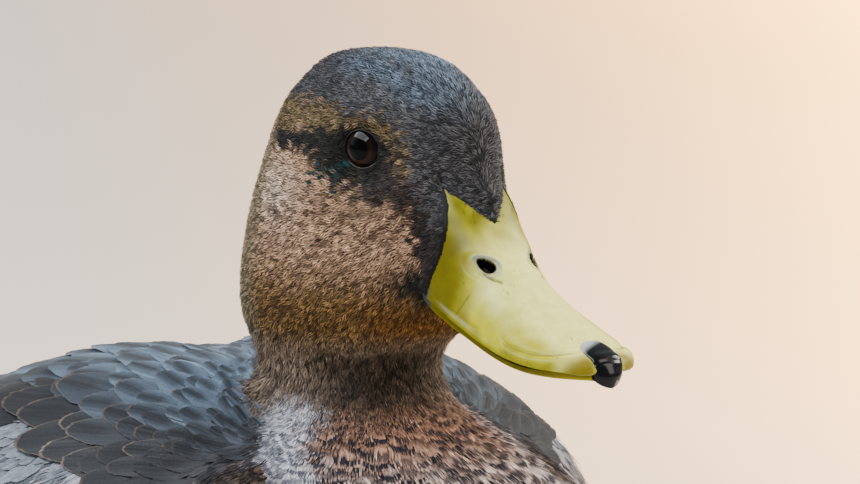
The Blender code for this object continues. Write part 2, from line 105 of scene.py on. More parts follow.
floor_mesh = bpy.data.meshes.new("studio_floor")
floor_corners = [(FLOOR_HALF * x, FLOOR_HALF * y, 0) for x, y in ((-1, -1), (1, -1), (1, 1), (-1, 1))]
floor_mesh.from_pydata(floor_corners, [], [(0, 1, 2, 3)])
floor = set_out("studio_floor", floor_mesh)
floor_paint = bpy.data.materials.new("pale_floor")
floor_paint.use_nodes = True
floor_shader = floor_paint.node_tree.nodes["Principled BSDF"]
floor_shader.inputs["Base Color"].default_value = (0.80, 0.765, 0.71, 1)
floor_shader.inputs["Roughness"].default_value = 0.9
floor_mesh.materials.append(floor_paint)

sky = bpy.data.worlds.new("studio_air")
sky.use_nodes = True
sky.node_tree.nodes["Background"].inputs["Color"].default_value = (0.86, 0.92, 1.0, 1)
sky.node_tree.nodes["Background"].inputs["Strength"].default_value = 0.62
bpy.context.scene.world = sky

for name, place, size, power, colour in (
    ("sky_panel", (-1.15, -0.02, 1.66), (1.7, 0.6), 44, (0.90, 0.95, 1.0)),
    ("window_panel", (1.0, -1.35, 1.35), (0.8, 0.8), 17, (1.0, 0.93, 0.84)),
    ("rim_panel", (-1.5, 0.9, 0.9), (0.9, 0.9), 3.5, (0.9, 0.95, 1.0)),
    ("edge_panel", (1.25, -0.15, 1.0), (0.6, 0.6), 28, (1.0, 0.95, 0.84)),
    ("glint_panel", (-1.15, -0.02, 1.66), (2.6, 0.75), 170, (0.78, 0.89, 1.0)),
):
    turn = (Vector(place) - LAMPS_AIM).to_track_quat("Z", "Y").to_euler()
    lamp = soft_lamp(name, size, power, colour, place, turn)
    lamp.visible_diffuse = name != "glint_panel"  # this one only shines back from eyes and horn

# Long low strips wash the floor behind the bird, warm on the right and cool on the left.
beyond = Vector((-towards_lens.x, -towards_lens.y, 0.0)).normalized()
for name, beside, away, height, power, colour in (
    ("warm_strip", 0.34, 1.95, 0.17, 40, (1.0, 0.48, 0.07)),
    ("far_warm_strip", 0.42, 3.6, 0.20, 60, (1.0, 0.42, 0.03)),
    ("cool_strip", -0.42, 1.95, 0.24, 4.0, (0.42, 0.72, 1.0)),
):
    place = Vector((aim.x, aim.y, height)) + beyond * away + lens_right * beside
    soft_lamp(name, (0.10, 1.9), power, colour, place, (0.0, 0.0, math.atan2(-beyond.x, beyond.y)))

# ---------------------------------------------------------------------------------------------
# The upper bill: a broad horny spatula, yellow over the sides and olive along its ridge, with a
# raised rim round each nostril and a rolled lip. Two horns of it run up beside the forehead.

BILL_DROP = math.radians(15)
BILL_ROWS = np.array(  # ahead, half width, top, edge and fullness of the section, millimetres
    (
        (16.0, 8.8, 1.0, -21.5, 4.0), (20.5, 10.3, -1.3, -23.2, 3.9), (28.5, 10.8, -6.6, -24.6, 3.0),
        (37.0, 10.9, -11.7, -25.4, 2.3), (46.0, 11.7, -15.2, -25.6, 2.1), (55.0, 12.7, -17.4, -24.8, 2.0),
        (63.0, 11.8, -18.6, -23.6, 2.1), (68.0, 9.3, -19.4, -22.6, 2.2), (70.8, 6.0, -20.0, -22.3, 2.2),
        (72.2, 0.0, -21.4, -21.4, 2.0),
    )
)
BILL_STATIONS, BILL_ROUND, BILL_UNDER, BILL_OUTLINE = 230, 190, 30, 1200
BILL_RIDGE_STATION = 40
BILL_STEPS = (0, 0.12, 0.5, 0.80, 0.93, 1), (17.5, 28, 42, 65, 71.0, 72.2)
NOSTRIL = np.array([35.4, 6.2, -12.55])
NOSTRIL_LONG = np.array([0.934, -0.337, -0.119])
NOSTRIL_HALF_LENGTH, NOSTRIL_HALF_HEIGHT = 2.55, 1.50
NOSTRIL_CREASE = (36.6, 7.3, -13.9), (38.6, 6.4, -14.4), (40.3, 5.3, -14.5)
SCRATCH = (36.2, -10.1, -18.7), (35.3, -10.6, -21.4), (34.2, -10.9, -23.6)
LIP_GROOVE = (40, 49, 50, 52, 55, 60, 64.5, 67, 69), (1.7, 4.4, 3.5, 2.8, 2.5, 2.5, 3.0, 3.6, 4.2)

brow = (right_eye + left_eye) / 2
head_left = (left_eye - right_eye).normalized()
head_ahead = Vector((head_left.y, -head_left.x, 0.0))
HEAD_AXES = np.array([head_ahead, head_left, (0, 0, 1)])
BROW = np.array(brow)
bill_ahead = head_ahead * math.cos(BILL_DROP) - Vector((0, 0, math.sin(BILL_DROP)))
bill_up = head_ahead * math.sin(BILL_DROP) + Vector((0, 0, math.cos(BILL_DROP)))
BILL_AXES = np.array([bill_ahead, head_left, bill_up])


def in_bill(points):
    """Points as millimetres along, left of and above the dropped bill, from between the eyes."""
    return (points - BROW) @ BILL_AXES.T * 1000


def from_bill(places):
    """Places in the bill's own frame, in millimetres, as a list of points of the model."""
    return places.reshape(-1, 3) @ BILL_AXES / 1000 + BROW


def ramp(value, start, end):
    """0 at start, 1 at end, and smooth between them."""
    t = np.clip((value - start) / (end - start), 0, 1)
    return t * t * (3 - 2 * t)


def fade(off, reach):
    """1 where off is 0, dying away over the reach on both sides."""
    return np.exp(-((off / reach) ** 2))


def shade(red, green, blue):
    """A colour named as a painter would mix it, 0 to 255, as the light that it gives back."""
    mix = np.array([red, green, blue]) / 255
    return np.where(mix <= 0.04045, mix / 12.92, ((mix + 0.055) / 1.055) ** 2.4)


BILL_YELLOW, BILL_RICH, BILL_OLIVE_AND_SHADE = shade(184, 176, 6), shade(94, 86, 0), shade(84, 80, 10)
BILL_PAINTED_SHEEN, NOSTRIL_RIM_AND_HIGHLIGHT, BILL_CREASE = shade(250, 244, 142), shade(118, 128, 132), shade(82, 74, 18)
GAPE_GREY, NOSTRIL_SHADE, BILL_TIP = shade(60, 66, 70), shade(4, 4, 3), shade(104, 86, 0)


def lay(under, over, amount):
    """One colour laid over another, as thickly as the amount says at each place."""
    return under + (over - under) * np.clip(amount, 0, 1)[..., None]


def soft_noise(points, scale, seed):
    """A smooth random field between about -1 and 1, with features of the given size in metres."""
    dice = np.random.default_rng(seed)
    waves = dice.normal(size=(7, 3)) / scale
    phases = dice.uniform(0, 2 * np.pi, 7)
    return np.sin(points @ waves.T * 2.2 + phases).sum(-1) / 3.2


def through(knots, values, at):
    """A smooth curve through some values."""
    slopes = np.gradient(values, knots)
    index = np.clip(np.searchsorted(knots, at, side="right") - 1, 0, len(knots) - 2)
    span = knots[index + 1] - knots[index]
    t = (at - knots[index]) / span
    return (
        values[index] * (2 * t**3 - 3 * t**2 + 1)
        + slopes[index] * span * (t**3 - 2 * t**2 + t)
        + values[index + 1] * (-2 * t**3 + 3 * t**2)
        + slopes[index + 1] * span * (t**3 - t**2)
    )


def bill_section(ahead):
    """Half width, top, edge and fullness of the upper bill at each place along it."""
    knots = BILL_ROWS[:, 0]
    half = np.sqrt(np.maximum(through(knots, BILL_ROWS[:, 1] ** 2, ahead), 1e-4))
    return half, *(through(knots, BILL_ROWS[:, column], ahead) for column in (2, 3, 4))


def ring_grid(rings, sides):
    """Faces that join rings of points into a tube."""
    starts, here = np.arange(rings - 1)[:, None] * sides, np.arange(sides)
    here, onward = starts + here, starts + (here + 1) % sides
    return np.stack([here, onward, onward + sides, here + sides], 2).reshape(-1, 4)


def line_distance(places, line):
    """How far places are from a line of points."""
    nearest = np.full(places.shape[:-1], 1e3)
    for a, b in zip(np.array(line), np.array(line[1:])):
        t = np.clip(((places - a) @ (b - a)) / ((b - a) @ (b - a)), 0, 1)[..., None]
        nearest = np.minimum(nearest, np.linalg.norm(places - a - (b - a) * t, axis=-1))
    return nearest


def along_nostril(places):
    """How far along and off the nostril's length places are."""
    along = places @ NOSTRIL_LONG
    return along, np.linalg.norm(places - along[..., None] * NOSTRIL_LONG, axis=2)


bill_steps = np.interp(np.linspace(0, 1, BILL_STATIONS), *BILL_STEPS)
bill_half, bill_top, bill_edge, bill_full = bill_section(bill_steps)
over_round = np.linspace(0, math.pi, BILL_OUTLINE)
under_round = np.linspace(math.pi, 2 * math.pi, BILL_UNDER + 2)[1:-1]
bill_rings = []
for half, top, edge, full in zip(bill_half, bill_top, bill_edge, bill_full):
    side = half * np.sign(np.cos(over_round)) * np.abs(np.cos(over_round)) ** (2 / full)
    up = edge + (top - edge) * np.sin(over_round) ** (2 / full)
    run = np.concatenate([[0], np.cumsum(np.hypot(np.diff(side), np.diff(up)))])
    even = np.linspace(0, run[-1], BILL_ROUND)
    side = np.concatenate([np.interp(even, run, side), half * np.cos(under_round)])
    up = np.concatenate([np.interp(even, run, up), edge + 0.6 * np.sin(under_round)])
    bill_rings.append(np.stack([side, up], 1))
bill_rings = np.array(bill_rings)
bill_places = np.concatenate([np.repeat(bill_steps[:, None, None], bill_rings.shape[1], 1), bill_rings], 2)
round_it = np.roll(bill_places, -1, 1) - np.roll(bill_places, 1, 1)
bill_out = np.cross(round_it, np.gradient(bill_places, axis=0))
bill_out /= np.maximum(np.linalg.norm(bill_out, axis=2, keepdims=True), 1e-9)
bill_out *= np.sign(bill_out[BILL_RIDGE_STATION, BILL_ROUND // 2, 2])  # up, on the ridge

one_side = bill_places.copy()
one_side[..., 1] = np.abs(one_side[..., 1])
ahead, beside, height = np.moveaxis(one_side, 2, 0)
above_edge = height - bill_edge[:, None]
rel = one_side - NOSTRIL
along, off = along_nostril(rel)
widening = 1 + 0.28 * np.clip(along / NOSTRIL_HALF_LENGTH, -1.5, 1)
nostril = np.hypot(along / NOSTRIL_HALF_LENGTH, off / (NOSTRIL_HALF_HEIGHT * widening))
along, off = along_nostril(rel - np.array([-0.6, 0.5, -0.7]))
hollow = np.hypot(along / 4.8, off / 3.0)
crease = line_distance(one_side, NOSTRIL_CREASE)
scratch = line_distance(bill_places, SCRATCH)
upper = above_edge > -0.01
groove = 0.45 * ramp(ahead, 24, 30) * (1 - ramp(ahead, 40, 46)) + ramp(ahead, 49, 53)
groove = groove * (1 - ramp(ahead, 66.5, 68.5)) * upper
groove = groove * ramp(beside / np.maximum(bill_half[:, None], 1e-3), 0.30, 0.6)
groove_off = above_edge - np.interp(ahead, *LIP_GROOVE)
lip = ramp(ahead, 24, 32) * (1 - ramp(ahead, 46, 54)) * upper * (beside > 6)
relief = (  # how far the horn stands out of its plain shape, in millimetres
    -3.0 * (1 - ramp(nostril, 0.45, 1.02))
    + 0.30 * fade(nostril - 1.28, 0.22)  # the nostril's rim
    - 0.42 * (1 - ramp(hollow, 0.70, 1.05)) * (nostril > 1)
    - 0.45 * fade(crease, 0.32)
    - 0.40 * groove * fade(groove_off, 0.42)
    + 0.30 * groove * fade(groove_off + 1.3, 0.8)  # the rolled lip below the groove
    + 0.40 * lip * fade(above_edge - 0.7, 0.7)
    - 0.45 * fade(np.hypot((ahead - 41) / 7, (height + 18.0) / 4), 1)  # a dent in the side
    - 0.18 * fade(scratch, 0.22)
    - 0.6 * (1 - ramp(beside, 2.6, 3.4)) * ramp(ahead, 65.2, 66.2)  # room for the nail
)
bill_shape = bill_places + bill_out * relief[..., None]

spots = bill_places / 1000
drift = soft_noise(spots, 0.006, 61)
blotches = soft_noise(spots, 0.0025, 62)
dots = soft_noise(spots, 0.0007, 63) * soft_noise(spots, 0.0031, 64)
# A painted pale sheen over the top of the bill, standing for the sky shining back from the horn.
pale = (1 - ramp(beside + drift, 6.0, 11.0)) * ramp(ahead + drift, 25, 36) * (1 - 0.7 * ramp(ahead, 67, 71))
# The horn's own olive at its root, deepened with painted shade under the brow's feathers.
olive_and_shade_under_brow = (1 - ramp(ahead + 1.5 * drift - 0.35 * beside, 24, 36)) * (0.85 + 0.25 * blotches)
base = ramp(beside, 6.0, 9.0) * (1 - ramp(ahead + 2 * drift, 28, 39)) * ramp(-height, 4, 12)
rolled = ramp(beside, 9.0, 11.0) * ramp(ahead, 30, 40) * (1 - ramp(above_edge + drift, 0.6, 3.0))
bill_tint = BILL_YELLOW
for colour, amount in (
    (BILL_PAINTED_SHEEN, 0.8 * pale),
    (BILL_OLIVE_AND_SHADE, 0.74 * olive_and_shade_under_brow),
    (BILL_RICH, 0.95 * base + 0.6 * rolled * (1 - base)),
    (BILL_TIP, 0.85 * ramp(ahead, 66, 70) * ramp(beside, 2.5, 4.5)),
    # The nostril's pale grey rim, with a painted highlight that grows towards its upper side.
    (NOSTRIL_RIM_AND_HIGHLIGHT, fade(nostril - 1.22, 0.24) * (0.55 + 0.4 * ramp(rel[..., 2], -0.6, 0.8))),
    # The nostril's shallow pit, painted near black as the shade inside its opening.
    (NOSTRIL_SHADE, 1 - ramp(nostril, 0.90, 1.04)),
    # Dark lines along the crease and the lip's groove, partly the horn's colour and partly painted shade in
    # them.
    (BILL_CREASE, 0.85 * fade(crease, 0.32)),
    (BILL_CREASE, 0.65 * groove * fade(groove_off, 0.16) * ramp(ahead, 46, 50)),
    (BILL_CREASE, 0.55 * fade(scratch, 0.2)),
    (GAPE_GREY, (1 - ramp(ahead, 24.0, 24.7)) * ramp(-height, 19.5, 21.0)),
    (BILL_CREASE, 0.5 * ramp(dots, 1.0, 1.4)),
):
    bill_tint = lay(bill_tint, colour, amount)


def grainy_finish(name, sockets, scale, detail, tones, strength, depth):
    """A material: the colour laid on the mesh, broken by a fine grain that stands up a little."""
    made = bpy.data.materials.new(name)
    made.use_nodes = True
    nodes, links = made.node_tree.nodes, made.node_tree.links
    shader = nodes["Principled BSDF"]
    for socket, value in sockets.items():
        shader.inputs[socket].default_value = value
    tint, place = nodes.new("ShaderNodeAttribute"), nodes.new("ShaderNodeTexCoord")
    tint.attribute_name = "tint"
    grain = nodes.new("ShaderNodeTexNoise")
    grain.inputs["Scale"].default_value = scale
    grain.inputs["Detail"].default_value = detail
    spread = nodes.new("ShaderNodeMapRange")
    for socket, value in zip(("From Min", "From Max", "To Min", "To Max"), (0.3, 0.7, *tones)):
        spread.inputs[socket].default_value = value
    scaled = nodes.new("ShaderNodeVectorMath")
    scaled.operation = "SCALE"
    bump = nodes.new("ShaderNodeBump")
    bump.inputs["Strength"].default_value = strength
    bump.inputs["Distance"].default_value = depth
    for source, target in (
        (place.outputs["Object"], grain.inputs["Vector"]),
        (grain.outputs["Fac"], spread.inputs["Value"]),
        (tint.outputs["Color"], scaled.inputs[0]),
        (spread.outputs["Result"], scaled.inputs["Scale"]),
        (scaled.outputs["Vector"], shader.inputs["Base Color"]),
        (grain.outputs["Fac"], bump.inputs["Height"]),
        (bump.outputs["Normal"], shader.inputs["Normal"]),
    ):
        links.new(source, target)
    return made


def horn_finish(name, gloss, coat=0.0, shine=0.08, strength=0.18):
    """Horn: faintly mottled under a smooth damp shine."""
    sockets = {"Roughness": gloss, "Specular IOR Level": shine, "Coat Weight": coat, "Coat Roughness": 0.12}
    return grainy_finish(
        name, sockets, scale=420, detail=5, tones=(0.88, 1.1), strength=strength, depth=0.0004
    )


def dress(mesh, colours, finish):
    """Gives a mesh a colour for each point, smooth faces and its finish."""
    colours = colours.reshape(-1, 3)
    layer = mesh.color_attributes.new("tint", "FLOAT_COLOR", "POINT")
    layer.data.foreach_set("color", np.hstack([colours, np.ones((len(colours), 1))]).ravel())
    mesh.shade_smooth()
    mesh.materials.append(finish)


def solid_object(name, points, faces, colours, finish):
    """An object from points and faces, with its faces all turned outwards."""
    mesh = bpy.data.meshes.new(name)
    mesh.from_pydata(points.reshape(-1, 3).tolist(), [], [list(map(int, face)) for face in faces])
    shell = bmesh.new()
    shell.from_mesh(mesh)
    bmesh.ops.recalc_face_normals(shell, faces=shell.faces)
    shell.to_mesh(mesh)
    shell.free()
    dress(mesh, colours, finish)
    return set_out(name, mesh)


bill_horn = horn_finish("bill_horn", gloss=0.42)
bill_faces = ring_grid(*bill_places.shape[:2])
upper_bill = solid_object("upper_bill_horn", from_bill(bill_shape), bill_faces, bill_tint, bill_horn)
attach(upper_bill, "root")
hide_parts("upper_bill")

# ---------------------------------------------------------------------------------------------
# The lower bill: a thinner yellow trough that shuts up inside the upper one, leaving a dark line
# where the two lips meet.

LOWER_INSET, LOWER_LENGTH, LOWER_SUNK, LOWER_SIDES = 1.1, 67.5, 0.9, 72

lower_steps = np.concatenate([np.linspace(16.5, 60, 60), LOWER_LENGTH - 7.5 * np.linspace(1, 0, 30)[1:] ** 2])
lower_half, _, lower_edge, _ = bill_section(lower_steps)
lower_half = np.maximum(lower_half - LOWER_INSET, 0.05)
lower_half = lower_half * np.sqrt(np.clip(1 - ((lower_steps - 56) / 11.55).clip(0, 1) ** 2, 0.0004, 1))
lower_depth = 4.2 * (1 - 0.5 * (lower_steps / LOWER_LENGTH) ** 2)
turn = np.linspace(0, 2 * math.pi, LOWER_SIDES, endpoint=False)
lower_side = lower_half[:, None] * np.sign(np.cos(turn)) * np.abs(np.cos(turn)) ** 0.8
lower_up = np.where(np.sin(turn) > 0, 0.4, lower_depth[:, None]) * np.sin(turn)
lower_ahead = np.repeat(lower_steps[:, None], LOWER_SIDES, 1)
lower_places = np.stack([lower_ahead, lower_side, lower_edge[:, None] - LOWER_SUNK + lower_up], 2)
lower_tint = lay(BILL_RICH, BILL_YELLOW, 0.6 * ramp(-lower_up, 0.8, 2.2))
lower_tint = lay(lower_tint, GAPE_GREY, 1 - ramp(lower_ahead, 23.4, 24.6))
lower_faces = ring_grid(*lower_places.shape[:2])
lower_bill = solid_object("lower_bill_horn", from_bill(lower_places), lower_faces, lower_tint, bill_horn)
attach(lower_bill, "root")
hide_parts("lower_bill")

# ---------------------------------------------------------------------------------------------
# The nail: a hard black shield of horn at the bill's tip, flecked with pink, with a painted pale reflection
# of the sky where it grows out of the softer bill. It stands a little proud, and hooks down over the lip.

NAIL_START, NAIL_HALF_WIDTH, NAIL_PROUD, NAIL_THICK = 63.6, 3.6, 0.7, 1.1
NAIL_BLACK, NAIL_SKY_REFLECTION, NAIL_PINK = shade(5, 5, 5), shade(186, 192, 190), shade(150, 118, 104)

reach = np.linspace(0, 1, 60)
nail_ahead = np.interp(reach, (0, 0.72, 0.88, 1), (NAIL_START, 71.6, 72.9, 72.7))
nail_low = np.interp(reach, (0, 0.72, 0.86, 1), (0, 0, -1.6, -4.4))
nail_wide = NAIL_HALF_WIDTH * np.sqrt(np.clip(1 - (1 - reach / 0.34).clip(0, 1) ** 2, 0.002, 1))
nail_wide = nail_wide * np.sqrt(np.clip(1 - ((reach - 0.82) / 0.184).clip(0, 1) ** 2.4, 0.01, 1))
across = np.sin(np.linspace(-math.pi / 2, math.pi / 2, 41))
nail_side = nail_wide[:, None] * across
half, top, edge, full = (part[:, None] for part in bill_section(np.minimum(nail_ahead, 71.3)))
share = np.clip(1 - np.abs(nail_side / np.maximum(half, 4.6)) ** full, 0, 1)
nail_up = edge + (top - edge) * share ** (1 / full) + nail_low[:, None]
swell = NAIL_PROUD * np.sqrt(np.clip(1 - across**4, 0, 1)) * ramp(reach, 0, 0.08)[:, None]
forward = ramp(reach, 0.6, 0.95)[:, None]
nail_front = nail_ahead[:, None] - 0.12 * nail_side**2 * forward + swell * forward
nail_outer = np.stack([nail_front, nail_side, nail_up + swell * (1 - forward)], 2)
nail_inner = nail_outer - NAIL_THICK * np.stack([forward, 0 * forward, 1 - forward], 2)
nail_ring = np.concatenate([nail_outer, nail_inner[:, ::-1]], 1)
ahead, side, up = np.moveaxis(nail_ring, 2, 0)
# A painted pale reflection of the sky on the nail's root.
nail_tint = lay(NAIL_BLACK, NAIL_SKY_REFLECTION, 0.85 * (1 - ramp(ahead + 0.45 * side, NAIL_START + 0.8, 66.6)))
nail_spots = soft_noise(nail_ring / 1000, 0.0012, 71)
nail_tint = lay(nail_tint, NAIL_PINK, 0.8 * ramp(nail_spots, 0.5, 0.9) * ramp(-up, 22.4, 23.4))
nail_sides, last = nail_ring.shape[1], ahead.size - 1
nail_faces = ring_grid(*ahead.shape).tolist()
nail_faces += [range(nail_sides), range(last, last - nail_sides, -1)]
nail_horn = horn_finish("nail_horn", gloss=0.24, coat=0.2)
nail = solid_object("bill_nail_horn", from_bill(nail_ring), nail_faces, nail_tint, nail_horn)
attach(nail, "root")
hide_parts("bill_nail")

# ---------------------------------------------------------------------------------------------
# The skin: one thin hide over head, neck, trunk, thighs and folded wings, drawn in from the
# feathers' tips by the coat's depth. Its down is short, soft and coloured as the plumage over it.

SKIN_CELL = 0.0019
SKIN_SWELL = 0.0006  # bridges the small gaps between the frame's pieces
SKIN_SMOOTHING = 14  # rounds of it
FINE_OVER, FINE_AHEAD = -0.042, 0.0155  # the hide is finer over the face and at the bill's root
BILL_ROOT = 0.0300  # skin runs this far over the bill's root, forward of the eyes
SKIN_OVER_BILL, SKIN_UNDER_BILL = 0.0003, -0.0010
EYE_TOE_IN = math.radians(22)  # the eye looks this far forward of straight sideways
LID_PLANE = 3.6  # the lids' plane, out from the eye's middle, in millimetres
LID_HALF_WIDTH, LID_HALF_HEIGHT = 4.0, 3.8  # of the opening between them, in millimetres
SOCKET_PLUG, SOCKET_PLUG_SUNK = 0.0058, 0.0006
FLESH = ("head", "neck", "trunk", "rump", "thigh_left", "thigh_right", "wing_left", "wing_right")
EYES = (1, left_eye, "left"), (-1, right_eye, "right")
FEATHERS_STOP_ABOVE = (0, 1.2, 2.8, 4.6, 6.3, 7.4, 8.2, 12), (28.9, 27.7, 26.1, 24.0, 21.6, 19.6, 17.6, 12)
FEATHERS_STOP_BESIDE = (
    (-30, -25, -21.9, -19.5, -17.4, -13.4, -10.3, -7.8, -5.0, -2.2, 2),
    (22, 23.8, 24.3, 24.8, 25.3, 26.1, 25.6, 24.4, 22.3, 19.8, 17.0),
)


def in_head(points):
    """Points as millimetres ahead of, left of and above the middle between the eyes."""
    return (points - BROW) @ HEAD_AXES.T * 1000


def past_feather_line(points):
    """How far ahead of the line where the feathers stop a place on the bill's root is, in
    millimetres. The line makes a V between the horns and bows forward on each side."""
    ahead, side, up = in_bill(points).T
    between_horns = np.interp(np.abs(side), *FEATHERS_STOP_ABOVE)
    return ahead - np.maximum(between_horns, np.interp(up, *FEATHERS_STOP_BESIDE))


def coat_depth(points):
    """How deep the feathers stand over the skin, in metres."""
    ahead, _, height = in_head(points).T
    depth = 0.35 + 0.30 * ramp(np.hypot(ahead - 22, height + 14), 6, 22)
    depth = depth + 0.3 * ramp(-ahead, 5, 25) - 0.9 * ramp(height, 11, 18)
    behind = ramp(points[:, 1], -0.125, -0.09) * ramp(-height, 40, 52)
    for deep, share in (
        (2.2, ramp(-height, 34, 56)),
        (3.0, ramp(-height, 58, 80)),
        (3.0, behind),
        (1.3, behind * ramp(points[:, 2], 0.168, 0.188)),
        (1.2, ramp(0.085 - points[:, 2], 0, 0.03)),
    ):
        depth = depth + (deep - depth) * share
    return depth / 1000


def swelled(node, until=None):
    """A frame piece's mesh, welded and swelled, or only the part of it behind a plane."""
    part = bmesh.new()
    part.from_mesh(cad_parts[node].data)
    bmesh.ops.remove_doubles(part, verts=part.verts, dist=1e-6)
    if until is not None:
        everything = part.verts[:] + part.edges[:] + part.faces[:]
        plane = brow + bill_ahead * until
        bmesh.ops.bisect_plane(part, geom=everything, plane_co=plane, plane_no=bill_ahead, clear_outer=True)
        bmesh.ops.holes_fill(part, edges=[e for e in part.edges if e.is_boundary])
    part.normal_update()
    for vert in part.verts:
        vert.co += vert.normal * SKIN_SWELL
    mesh = bpy.data.meshes.new(node)
    part.to_mesh(mesh)
    part.free()
    return mesh


def even_out(points, edges, rounds):
    """Takes the flats out of a shell. Each pull towards the neighbours is followed by a push back,
    so that the shell doesn't shrink."""
    here, there = np.concatenate([edges, edges[:, ::-1]]).T
    count = np.bincount(here, minlength=len(points))[:, None]
    for pull in (0.55, -0.57) * rounds:
        sums = [np.bincount(here, points[there, axis], len(points)) for axis in range(3)]
        points = points + pull * (np.stack(sums, 1) / count - points)
    return points


def mesh_arrays(mesh):
    """A mesh's points, edges and normals."""
    arrays = []
    for items, value, wide, kind in (
        (mesh.vertices, "co", 3, float),
        (mesh.edges, "vertices", 2, np.int32),
        (mesh.vertices, "normal", 3, float),
    ):
        held = np.empty(len(items) * wide, kind)
        items.foreach_get(value, held)
        arrays.append(held.reshape(-1, wide))
    return arrays


def move_points(mesh, points):
    """Sets a mesh's points in new places."""
    mesh.vertices.foreach_set("co", points.ravel())
    mesh.update()


def eye_axes(side):
    """The eye's own frame: the way it looks, and forwards and up across its lids."""
    looks = head_left * (side * math.cos(EYE_TOE_IN)) + head_ahead * math.sin(EYE_TOE_IN)
    onward = head_ahead * math.cos(EYE_TOE_IN) - head_left * (side * math.sin(EYE_TOE_IN))
    return np.array([looks, onward, (0, 0, 1)])


def from_eye(points, side, eye):
    """Millimetres out of, ahead of and above the eye's middle, and how far off it a place is when
    the lids' oval is taken as a circle."""
    looks, onward, upward = eye_axes(side) @ (points - np.array(eye)).T * 1000
    return looks, onward, upward, np.hypot(onward * LID_HALF_HEIGHT / LID_HALF_WIDTH, upward)


rough = bmesh.new()
for source in (*[swelled(node) for node in FLESH], swelled("upper_bill", BILL_ROOT)):
    rough.from_mesh(source)
    bpy.data.meshes.remove(source)
for side, eye, _ in EYES:  # closes the hide over the eyes' sockets
    plug_place = Matrix.Translation(eye - Vector(eye_axes(side)[0]) * SOCKET_PLUG_SUNK)
    bmesh.ops.create_icosphere(rough, subdivisions=3, radius=SOCKET_PLUG, matrix=plug_place)
skin_mesh = bpy.data.meshes.new("skin")
rough.to_mesh(skin_mesh)
rough.free()
skin = set_out("skin", skin_mesh)
cells = skin.modifiers.new("cells", "REMESH")
cells.mode = "VOXEL"
cells.voxel_size = SKIN_CELL
skin.data = bpy.data.meshes.new_from_object(skin.evaluated_get(bpy.context.evaluated_depsgraph_get()))
skin.modifiers.clear()
bpy.data.meshes.remove(skin_mesh)

finer = bmesh.new()
finer.from_mesh(skin.data)
face_edges = [e for e in finer.edges if (e.verts[0].co.z - brow.z) > FINE_OVER]
bmesh.ops.subdivide_edges(finer, edges=face_edges, cuts=1, use_grid_fill=True)
root_edges = [e for e in finer.edges if (e.verts[0].co - brow).dot(bill_ahead) > FINE_AHEAD]
bmesh.ops.subdivide_edges(finer, edges=root_edges, cuts=1, use_grid_fill=True)
finer.to_mesh(skin.data)
finer.free()

skin_points, skin_edges, _ = mesh_arrays(skin.data)
move_points(skin.data, even_out(skin_points, skin_edges, SKIN_SMOOTHING))
skin_points, _, skin_normals = mesh_arrays(skin.data)
skin_points = skin_points - skin_normals * (coat_depth(skin_points) + SKIN_SWELL)[:, None]

# Over the bill's root the hide lies close on the horn, and it dips under the horn where the
# feathers stop.
horn_tree = BVHTree.FromPolygons(from_bill(bill_places).tolist(), bill_faces.tolist())
line = past_feather_line(skin_points)
along_bill, _, over_bill = in_bill(skin_points).T
for index in np.nonzero((along_bill > 15) & (over_bill > -23.5))[0]:
    near, facing, _, _ = horn_tree.find_nearest(skin_points[index])
    outward = np.array(facing)
    off = float((skin_points[index] - np.array(near)) @ outward)
    least = min(max(-0.0005 * line[index], SKIN_UNDER_BILL), SKIN_OVER_BILL)
    if line[index] > 0:
        skin_points[index] += outward * (min(off, least) - off)
    elif abs(off) < 0.0025:
        most = 0.0001 + 0.001 * -line[index]
        skin_points[index] += outward * (min(max(off, least), most) - off)

for side, eye, _ in EYES:  # a shallow dish for the ball and its lids
    looks, _, _, spread = from_eye(skin_points, side, eye)
    floor_of_socket = LID_PLANE + 0.05 - 2.5 * (1 - ramp(spread, 3.2, 4.1))
    hold = (1 - ramp(spread, 4.6, 10.5)) * (looks > 0)
    move = (floor_of_socket - looks) * hold / 1000
    skin_points = skin_points + move[:, None] * eye_axes(side)[0]
move_points(skin.data, skin_points)

# ---------------------------------------------------------------------------------------------
# The plumage's colours: an autumn drake keeps much of its brown summer dress. The cap, the line
# through the eye and the lores are dark, the cheeks buff and streaked, the breast cinnamon with
# dark spots, the back slate with buff edges, and the flanks pale grey.


def fringe_and_heart(fringe, heart):
    """The two colours of a feather, at its edge and down its middle."""
    return np.stack([shade(*fringe), shade(*heart)])[:, None]


CAP, CAP_SKY_SHEEN = fringe_and_heart((88, 85, 86), (24, 24, 26)), shade(110, 126, 144)
BROW_STRIPE, BROW_FLECK = fringe_and_heart((114, 96, 64), (24, 22, 18)), shade(150, 126, 88)
STRIPE = fringe_and_heart((42, 40, 36), (9, 9, 9))
LORES = fringe_and_heart((66, 56, 52), (16, 15, 15))
CHEEK, PALE_CHEEK = fringe_and_heart((192, 153, 121), (40, 30, 26)), shade(212, 187, 162)
JAW, CHIN = fringe_and_heart((128, 98, 58), (46, 32, 18)), shade(112, 76, 34)
NAPE = fringe_and_heart((126, 112, 86), (56, 48, 38))
NECK = fringe_and_heart((136, 116, 98), (36, 28, 23))
COLLAR = fringe_and_heart((212, 212, 218), (100, 98, 108))
BREAST, BREAST_LOW = fringe_and_heart((156, 115, 91), (28, 28, 36)), shade(216, 194, 187)
DOWN = fringe_and_heart((92, 76, 66), (28, 24, 22))
BELLY = fringe_and_heart((188, 178, 166), (138, 122, 104))
FLANK = fringe_and_heart((130, 135, 143), (94, 97, 104))
RUMP = fringe_and_heart((70, 62, 52), (34, 34, 34))
BACK = fringe_and_heart((66, 64, 66), (46, 44, 46))
MANTLE_SKIN_SKY_SHEEN = fringe_and_heart((92, 98, 106), (92, 98, 106))
SHADOW = np.zeros(3)

